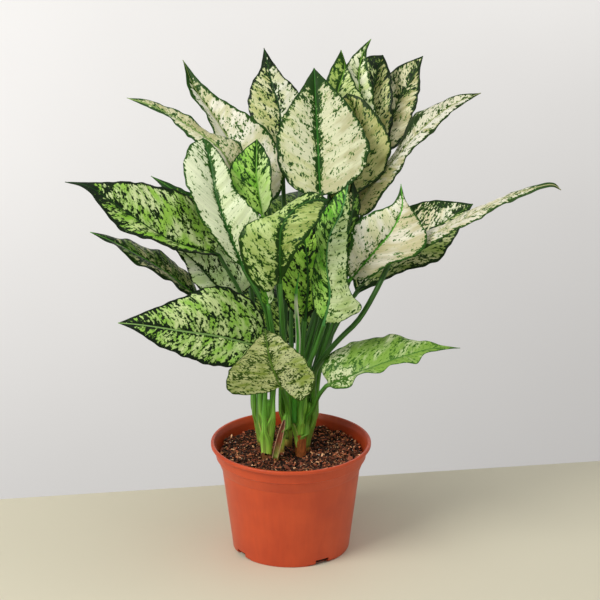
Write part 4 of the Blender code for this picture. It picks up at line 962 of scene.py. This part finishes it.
    "leaf_back_right": dict(
        cane="stem_back_right", height=132, turn=330, stalk=[(32, 194, -40), (46, 226, -50)],
        rib=[(64, 248, -60), (90, 278, -90), (108, 298, -120), (120, 308, -150)],
        left=[(62, 278, -78), (82, 306, -110), (98, 321, -140)],
        right=[(92, 262, -76), (124, 284, -102), (128, 302, -132)],
        ground="#CBD694", wash="#A8BE6C", deep="#1E4212", midrib="#3C6E26",
        waves=(1.6, 2.5, 0.8), marks=(-0.02, -0.02), margin=(5.0, 0.15), feather=(6.0, 0.06)),
    "leaf_back_low_left": dict(
        cane="stem_back_left", height=126, turn=128, stalk=[(-42, 180, -48)],
        rib=[(-56, 206, -66), (-78, 222, -98), (-96, 228, -130), (-108, 222, -160)],
        left=[(-72, 200, -74), (-100, 208, -100), (-116, 214, -132)],
        right=[(-54, 226, -88), (-72, 244, -122), (-94, 240, -150)],
        ground="#BFD07C", wash="#94B650", deep="#14280C", midrib="#7FA05A",
        waves=(1.6, 2.5, 0.4), marks=(0.01, 0.01), margin=(6.0, 0.15), feather=(6.0, 0.08)),
    "leaf_back_low_middle": dict(
        cane="stem_middle", height=118, turn=92, stalk=[(-3, 158, -40), (-3, 176, -56)],
        rib=[(1, 198, -76), (-6, 226, -106), (-12, 250, -140), (-16, 264, -174)],
        left=[(-30, 206, -84), (-52, 236, -116), (-46, 262, -150)],
        right=[(28, 204, -92), (38, 232, -126), (22, 258, -160)],
        ground="#BFD07C", wash="#94B650", deep="#14280C", midrib="#7FA05A",
        waves=(1.6, 2.5, 0.1), marks=(0.01, 0.01), margin=(6.0, 0.15), feather=(6.0, 0.08)),
}


def smooth_step(values, low, high):
    """0 at low and 1 at high, which may be the smaller of the two, with a soft step between them."""
    share = np.clip((values - low) / (high - low), 0.0, 1.0)
    return share * share * (3.0 - 2.0 * share)


def wavy(values, length, start):
    """A wave that repeats after this length."""
    return np.sin(2 * math.pi * values / length + start)


def blade_faces(leaf, seed):
    """The blade's two faces, its midrib and margins, and where each of its points lies on the blade."""
    base, *_, tip = leaf["rib"]
    t = BLADE_SHARES[:, None]
    rib = seen_curve(leaf["rib"])
    ribs = points_along(rib, BLADE_SHARES)
    alongs = directions(rib, BLADE_SHARES)
    lefts, rights = (points_along(seen_curve([base, *leaf[hand], tip]), BLADE_SHARES)
                     for hand in ("left", "right"))
    end = unit(rights[-2] - lefts[-2]) * TIP_WIDTH
    lefts[-1], rights[-1] = ribs[-1] - end, ribs[-1] + end
    facing = [unit(np.cross(ribs - lefts, alongs)), unit(np.cross(rights - ribs, alongs))]
    for normals in facing:
        normals[:BASE_ROWS] = normals[BASE_ROWS]
        normals[-1] = normals[-2]
    share = smooth_step(ACROSS, -0.2, 0.2)[:, None]
    normal = unit(mix(facing[0][:, None], facing[1][:, None], share))
    edge = np.where((ACROSS < 0)[:, None], lefts[:, None], rights[:, None])
    reach = abs(ACROSS)[None, :]
    width = np.linalg.norm(edge - ribs[:, None], axis=2)
    out = reach * width
    down = t * step_lengths(rib).sum()
    height, number, start = leaf["waves"]
    lag = np.where(ACROSS > 0, WAVE_LAG, 0.0)
    ends = np.sin(math.pi * t)
    hollow = 4 * reach * (1 - reach)
    rise = ARCH * width * hollow + height * reach ** 2 * ends * wavy(number * t + start, 1.0, lag)
    rise += RIPPLE_HEIGHT * reach ** 4 * ends * wavy(down, RIPPLE_LENGTH, seed + 2 * lag)
    # The blade swells between its side veins, which run outward and towards the tip.
    lane = down - VEIN_SLANT * out - VEIN_BEND * out ** 2 / np.maximum(width, 6.0)
    rise += SWELL_HEIGHT * wavy(lane, SWELL_LENGTH, lag) * hollow * np.clip(width / 20, 0, 1)
    uneven = wavy(down, SWAY_LENGTHS[0], seed + lag) + 0.7 * wavy(down, SWAY_LENGTHS[1], 2 * seed + lag)
    sway = (1.0 + MARGIN_SWAY / np.maximum(width, 8.0) * uneven * reach ** 3 * ends)[..., None]
    half = mix(BASE_THICKNESS, TIP_THICKNESS, t) / 2 * (1 - 0.4 * reach ** 3)
    keel = KEEL_HEIGHT * (1 - t) ** 0.6 * np.exp(-(out / KEEL_WIDTH) ** 2)
    groove = GROOVE_DEPTH * (1 - t) ** 0.4 * np.exp(-(out / GROOVE_WIDTH) ** 2)
    middle = ribs[:, None] + (edge - ribs[:, None]) * reach[..., None] * sway + normal * rise[..., None]
    upper = middle + normal * (half - groove)[..., None]
    lower = middle - normal * (half + keel)[..., None]
    size, lean = leaf.get("specks", (1.0, SPECK_LEAN))
    c, s = math.cos(math.radians(lean)) / size, math.sin(math.radians(lean)) / size
    spots = dict(out=out * np.sign(ACROSS), lane=lane, rim=(1 - reach) * width,
                 ribline=out / mix(BASE_MIDRIB, TIP_MIDRIB, t),
                 length=(down * c + out * s) / SPECK_LONG, width=(out * c - down * s) / SPECK_WIDE)
    return upper, lower, ribs, alongs, lefts, rights, spots


def half_ring(side, normal):
    """Half of a ring, from one side over the normal to the other."""
    return np.cos(RING_ANGLES)[:, None] * side + np.sin(RING_ANGLES)[:, None] * normal


def stalk_rings(leaf, across):
    """Rings from the sheath's lower end, where it wraps the cane, up the stalk to the blade's base."""
    cane = CANES[leaf["cane"]]
    foot = stalk_foot(leaf)
    line = seen_curve([*leaf["stalk"], leaf["rib"][0]], (foot, foot + (0.0, 0.0, STALK_RISE)))
    alongs = directions(line, STALK_SHARES)
    turn = math.radians(leaf["turn"])
    level = np.array((math.sin(turn), -math.cos(turn), 0.0))
    sides = []
    for along in alongs[::-1]:
        across = unit(across - along * across.dot(along))
        sides.insert(0, across)
    twist = math.atan2(np.cross(across, level).dot(alongs[0]), across.dot(level))
    rings = []
    for t, centre, along, side in zip(STALK_SHARES, points_along(line, STALK_SHARES), alongs, sides):
        turned = twist * smooth_step(t, 0.6, 0.0)
        side = side * math.cos(turned) + np.cross(along, side) * math.sin(turned)
        normal = np.cross(side, along)
        radius = mix(STALK_FOOT_RADIUS, leaf.get("stalk_radius", STALK_RADIUS), min(1.0, 2 * t))
        flat = 1.0 - 0.25 * smooth_step(t, 0.1, 0.5)
        rings.append(centre + radius * np.concatenate((half_ring(side, flat * normal),
                                                       half_ring(side, -normal)[::-1])))
    drop = min(leaf.get("drop", SHEATH_DROP), leaf["height"] - SOIL_TOP - 3.0)
    spread = 1.0 - 2.0 * (np.arange(ACROSS_COUNT) + 0.5) / ACROSS_COUNT
    sheath = []
    for share in SHEATH_SHARES:
        height = leaf["height"] - drop * share
        axis = cane_axis(cane, height)
        inner = cane_radius(cane, height) + 0.05
        thick = (2 * STALK_FOOT_RADIUS + GAP) * (1 - share) ** 1.6 + SHEATH_THICKNESS
        outer = inner + thick * mix(SHEATH_RIM, 1.0, np.sqrt(1.0 - spread ** 2))
        angles = turn + (SHEATH_TOP_ANGLE + SHEATH_WRAP * share ** 0.7) * spread
        crescent = np.concatenate((around(axis, angles, inner), around(axis, angles, outer)[::-1]))
        circle = rings[0] + axis - cane_axis(cane, leaf["height"])
        sheath.append(mix(circle, crescent, smooth_step(share, 0.0, 0.4)))
    heights = np.append(-drop * SHEATH_SHARES, STALK_SHARES * step_lengths(line).sum())
    return sheath + rings, heights


def overlaid(tree, under, over, value, low, high):
    """The first colour, and the second in its place from where the value passes low to where it is high."""
    share = add(tree, "MapRange", {"interpolation_type": "SMOOTHSTEP", "From Min": low, "From Max": high,
                                   "Value": value})
    return add(tree, "Mix", {"data_type": "RGBA", 0: share, 6: under, 7: over}).outputs[2]


def leaf_blade_material(name, roughness, duller):
    """Leaf skin: satin wax over cream and green cells, marked along the veins where the green stayed."""
    made, tree = new_material(name, roughness, 1.4)
    kept = {key: add(tree, "Attribute", {"attribute_name": key}) for key in ("spot", "mark", "speck", *TONES)}
    washing, level, ribline = add(tree, "SeparateXYZ", {0: kept["mark"].outputs["Vector"]}).outputs
    specks = add(tree, "TexNoise", {"Scale": 1.0, "Detail": 3.5, "Roughness": 0.68,
                                    "Vector": kept["speck"].outputs["Vector"]})
    # Patterns lie along the side veins: each is as long and as wide, in mm, as its cells here.
    fields = []
    for long, wide, shift in ((8.0, 5.5, 5.0), (22.0, 16.0, 9.0), (22.0, 13.0, 13.0), (60.0, 1.4, 17.0)):
        at = add(tree, "VectorMath", {"operation": "MULTIPLY_ADD", 0: kept["spot"].outputs["Vector"],
                                      1: (1 / long, 1 / wide, 1.0), 2: (0.0, 0.0, shift)})
        fields.append(add(tree, "TexNoise", {"Scale": 1.0, "Detail": 2.0, "Roughness": 0.6, "Vector": at}))
    patches, clouds, washes, veins = fields
    for pattern, weight in ((specks, 0.6), (patches, 0.3), (clouds, 0.2)):
        level = add(tree, "Math", {"operation": "MULTIPLY_ADD", 0: pattern, 1: weight, 2: level})
    washed = add(tree, "Math", {"operation": "ADD", 0: washes, 1: washing})
    ground, wash, deep, midrib = (kept[key].outputs["Color"] for key in TONES)
    colour = mottled(tree, overlaid(tree, ground, wash, washed, 0.36, 0.64), veins, 0.3, 0.7, 0.87, 1.06)
    # A mid-green halo lies round each dark mark.
    halo = (*linear("#5E8A2C"), 1.0)
    colour = overlaid(tree, colour, halo, level, MARK_LEVEL - 0.024, MARK_LEVEL - 0.004)
    colour = overlaid(tree, colour, deep, level, MARK_LEVEL - 0.004, MARK_LEVEL + 0.024)
    colour = overlaid(tree, colour, midrib, ribline, 1.25, 0.75)
    dull = add(tree, "Mix", {"data_type": "RGBA", 0: duller, 6: colour, 7: (*linear("#8E9A62"), 1.0)})
    tree.nodes["Principled BSDF"].inputs["Specular IOR Level"].default_value = 0.22
    return coated(made, dull.outputs[2], veins, 0.45, 0.0004)


def leaf_stalk_material():
    """Stalk skin: smooth, mid to dark green with pale fibres, lighter where the sheath wraps the cane."""
    made, tree = new_material("leaf stalk skin", 0.4, 1.42)
    spot, mark = (add(tree, "Attribute", {"attribute_name": key}).outputs["Vector"]
                  for key in ("spot", "mark"))
    round_it, up, _ = add(tree, "SeparateXYZ", {0: spot}).outputs
    stalk_tone = add(tree, "SeparateXYZ", {0: mark}).outputs[0]
    # Fibres are a seventh of the stalk's breadth apart and run 40 mm along it.
    at = add(tree, "VectorMath", {"operation": "MULTIPLY", 0: spot, 1: (7.0, 1 / 40.0, 1.0)})
    fibres = add(tree, "TexNoise", {"Scale": 1.0, "Detail": 2.0, "Vector": at})
    wander = add(tree, "Math", {"operation": "MULTIPLY_ADD", 0: fibres, 1: 24.0, 2: up})
    along = add(tree, "MapRange", {"From Min": -30.0, "From Max": 90.0, "Value": wander})
    greens = ((0.0, "#CCEC6C"), (0.25, "#96D04E"), (0.5, "#66AA38"), (0.75, "#4A8428"), (1.0, "#42762A"))
    green = add(tree, "ValToRGB", {"Fac": along, "stops": greens})
    streaked = mottled(tree, green, fibres, 0.38, 0.62, 0.6, 1.4)
    # Each stalk's tone is partly its own and partly painted shade: the crown's stalks at the back are set
    # darker.
    toned = add(tree, "VectorMath", {"operation": "SCALE", 0: streaked, "Scale": stalk_tone})
    # The sheath's free edges are thin, dry and yellowish.
    side = add(tree, "Math", {"operation": "SUBTRACT", 0: round_it, 1: 0.5})
    from_middle = add(tree, "Math", {"operation": "ABSOLUTE", 0: side})
    at_edge = add(tree, "MapRange", {"From Min": 0.44, "From Max": 0.49, "Value": from_middle})
    low = add(tree, "MapRange", {"From Min": -2.0, "From Max": -8.0, "Value": up})
    share = add(tree, "Math", {"operation": "MULTIPLY", 0: at_edge, 1: low})
    edged = add(tree, "Mix", {"data_type": "RGBA", 0: share, 6: toned, 7: (*linear("#BDB866"), 1.0)})
    return coated(made, edged.outputs[2])


def make_leaf(name, leaf, seed):
    """One whole leaf in a single skin, which keeps its colours and marks at its points."""
    upper, lower, ribs, alongs, lefts, rights, spots = blade_faces(leaf, seed)
    t = BLADE_SHARES[:, None]
    across = unit(rights - lefts)
    across[:BASE_ROWS] = across[BASE_ROWS]
    across = unit(across - alongs * np.sum(across * alongs, axis=1, keepdims=True))
    normal = np.cross(across, alongs)[:, None]
    side = across[:, None]
    # The stalk runs into the blade's base, round at first and then as the midrib.
    radius = leaf.get("stalk_radius", STALK_RADIUS) * (1 - 0.3 * t)[..., None]
    blend = smooth_step(t, 0.0, 0.075)[..., None]
    upper = mix(ribs[:, None] + radius * half_ring(side, 0.75 * normal), upper, blend)
    lower = mix(ribs[:, None] + radius * half_ring(side, -normal), lower, blend)
    low_rings, heights = stalk_rings(leaf, across[0])
    rings = np.concatenate((low_rings, np.concatenate((upper, lower[:, ::-1]), axis=1)))
    mesh = ring_mesh(f"fine_{name}", rings, blade_top, name)
    mesh.materials.append(blade_underside)
    mesh.materials.append(stalk_skin)
    rows, count = rings.shape[:2]
    first = len(low_rings)
    kinds = np.zeros((rows - 1, count), np.int32)
    kinds[:, ACROSS_COUNT:count - 1] = 1
    kinds[:first - 1] = 2
    mesh.polygons.foreach_set("material_index", np.append(kinds, (2, 0)).astype(np.int32))

    covered = np.where(ACROSS < 0, *leaf["marks"]) + leaf.get("tip", 0.0) * smooth_step(t, 0.6, 0.97)
    covered = covered + leaf.get("base", 0.0) * smooth_step(t, 0.45, 0.1)
    covered += RIM_WEIGHT * smooth_step(spots["rim"], 0.9, 0.3)
    for key, place, start in (("margin", spots["rim"], 0.05), ("feather", abs(spots["out"]), 0.15)):
        width, weight = leaf[key]
        covered += weight * smooth_step(place, width, start * width)
    # A patch adds dark marks; on leaf_right_upper the patch is painted shade.
    for hand, start, end, inner, weight in leaf.get("patches", ()):
        lengthwise = smooth_step(t, start - 0.06, start + 0.06) * smooth_step(t, end + 0.06, end - 0.06)
        covered += weight * lengthwise * smooth_step(ACROSS * hand, inner - 0.12, inner + 0.12)
    # Washing adds the second ground colour; on leaf_crown_front and leaf_right_upper it is painted shade.
    whole, near_base = leaf.get("washing", (0.0, 0.0))
    washes = whole + near_base * smooth_step(t, 0.5, 0.1)
    hands = np.where(ACROSS > 0, HALF_SEED, 0.0) + seed
    spot, speck, mark = np.zeros((3, rows, count, 3))
    spot[:first, :, 0] = there_and_back(np.linspace(0, 1, ACROSS_COUNT))
    spot[:first, :, 1] = heights[:, None]
    spot[:first, :, 2] = seed
    # The stalk's tone: partly its own, and partly painted shade for the crown's stalks at the back.
    mark[:first] = (leaf.get("stalk_tone", 1.0), 0.0, 0.0)
    for grid, values in ((spot, (spots["out"], spots["lane"], seed)),
                         (speck, (spots["length"], spots["width"], hands)),
                         (mark, (washes, covered, spots["ribline"]))):
        grid[first:] = there_and_back(np.stack(np.broadcast_arrays(*values), axis=-1), 1)
    for key, grid in (("spot", spot), ("speck", speck), ("mark", mark)):
        keep_values(mesh, key, grid, colour=False)
    for key in TONES:
        halves = [linear(code) for code in np.atleast_1d(leaf[key])]
        tones = mix(halves[0], halves[-1], smooth_step(ACROSS, -0.04, 0.04)[:, None])
        keep_values(mesh, key, np.tile(there_and_back(tones), (rows, 1)))


blade_top = leaf_blade_material("variegated leaf skin", 0.42, 0.0)
blade_underside = leaf_blade_material("leaf underside skin", 0.55, 0.06)
stalk_skin = leaf_stalk_material()
for number, (name, leaf) in enumerate(LEAVES.items()):
    make_leaf(name, leaf, LEAF_SEED * (number + 1))


# The studio
# A pale table top, whose far edge shows behind the pot, a plain wall well behind it, and soft light from
# the upper left.

# Two points of the table's far edge.
TABLE_EDGE = np.array(((-308.0, 108.0), (338.0, 211.0)))
TABLE_REACH = 2600.0
WALL_DISTANCE = 3600.0
WALL_REACH = 3500.0
WALL_RISE = 2600.0
PLANT_MIDDLE = (0.0, 0.0, 0.25)
# A lamp's place, the point that it faces, its size, power and colour.
LAMPS = {
    "key light": ((-1.5, -1.25, 1.9), PLANT_MIDDLE, 1.3, 46.0, "#FFFDF8"),
    "fill light": ((1.7, -1.5, 0.9), PLANT_MIDDLE, 1.4, 1.2, "#FAFBFF"),
    "left wall light": ((-1.5, 1.9, -0.1), (-0.9, 3.6, -1.2), 1.2, 29.5, "#FFFFFF"),
    "upper wall light": ((1.0, 2.5, 1.0), (0.5, 3.6, 0.4), 1.2, 22.0, "#FFFFFF"),
    "overhead light": ((0.5, -0.4, 2.6), (0.1, 0.0, 0.1), 2.2, 18.0, "#FFFFFF"),
}


def plain_paint(name, code, roughness):
    """Matt paint with a very faint mottling."""
    made, tree = new_material(name, roughness, 1.45)
    mottle = cells(tree, (3.0, 3.0, 3.0), 2.0)
    return coated(made, mottled(tree, linear(code), mottle, 0.0, 1.0, 0.98, 1.02))


def staged(name, corners, finish):
    """A flat sheet of the studio, which is no part of the plant."""
    mesh = bpy.data.meshes.new(name)
    mesh.from_pydata((np.array(corners) * METRES).tolist(), [], [range(len(corners))])
    mesh.materials.append(finish)
    placed(name, mesh)


edge_way = unit(TABLE_EDGE[1] - TABLE_EDGE[0]) * TABLE_REACH
left, left_end = TABLE_EDGE[0] - edge_way
right, right_end = TABLE_EDGE[1] + edge_way
staged("table_top", [(left, -TABLE_REACH, 0.0), (right, -TABLE_REACH, 0.0), (right, right_end, 0.0),
                     (left, left_end, 0.0)], plain_paint("matt table paint", "#D8D2BB", 0.7))
staged("backdrop_wall", [(x * WALL_REACH, WALL_DISTANCE, z * WALL_RISE)
                         for x, z in ((-1, -1), (1, -1), (1, 1), (-1, 1))],
       plain_paint("matt wall paint", "#DDDBD8", 0.9))

camera = placed("camera", bpy.data.cameras.new("camera"))
camera.location = EYE * METRES
camera.rotation_euler = (math.pi / 2 - VIEW_PITCH, 0.0, 0.0)
camera.data.sensor_width = 36.0
camera.data.lens = 144.0
bpy.context.scene.camera = camera

for name, (spot, target, size, power, colour) in LAMPS.items():
    lamp = placed(name, bpy.data.lights.new(name, "AREA"))
    lamp.data.size = size
    lamp.data.energy = power
    lamp.data.color = linear(colour)
    lamp.location = spot
    lamp.rotation_euler = (Vector(target) - Vector(spot)).to_track_quat("-Z", "Y").to_euler()
world = bpy.data.worlds.new("studio air")
bpy.context.scene.world = world
world.use_nodes = True
world.node_tree.nodes["Background"].inputs["Color"].default_value = (*linear("#F4F4F6"), 1.0)
world.node_tree.nodes["Background"].inputs["Strength"].default_value = 0.40
bpy.context.scene.view_settings.view_transform = "Standard"
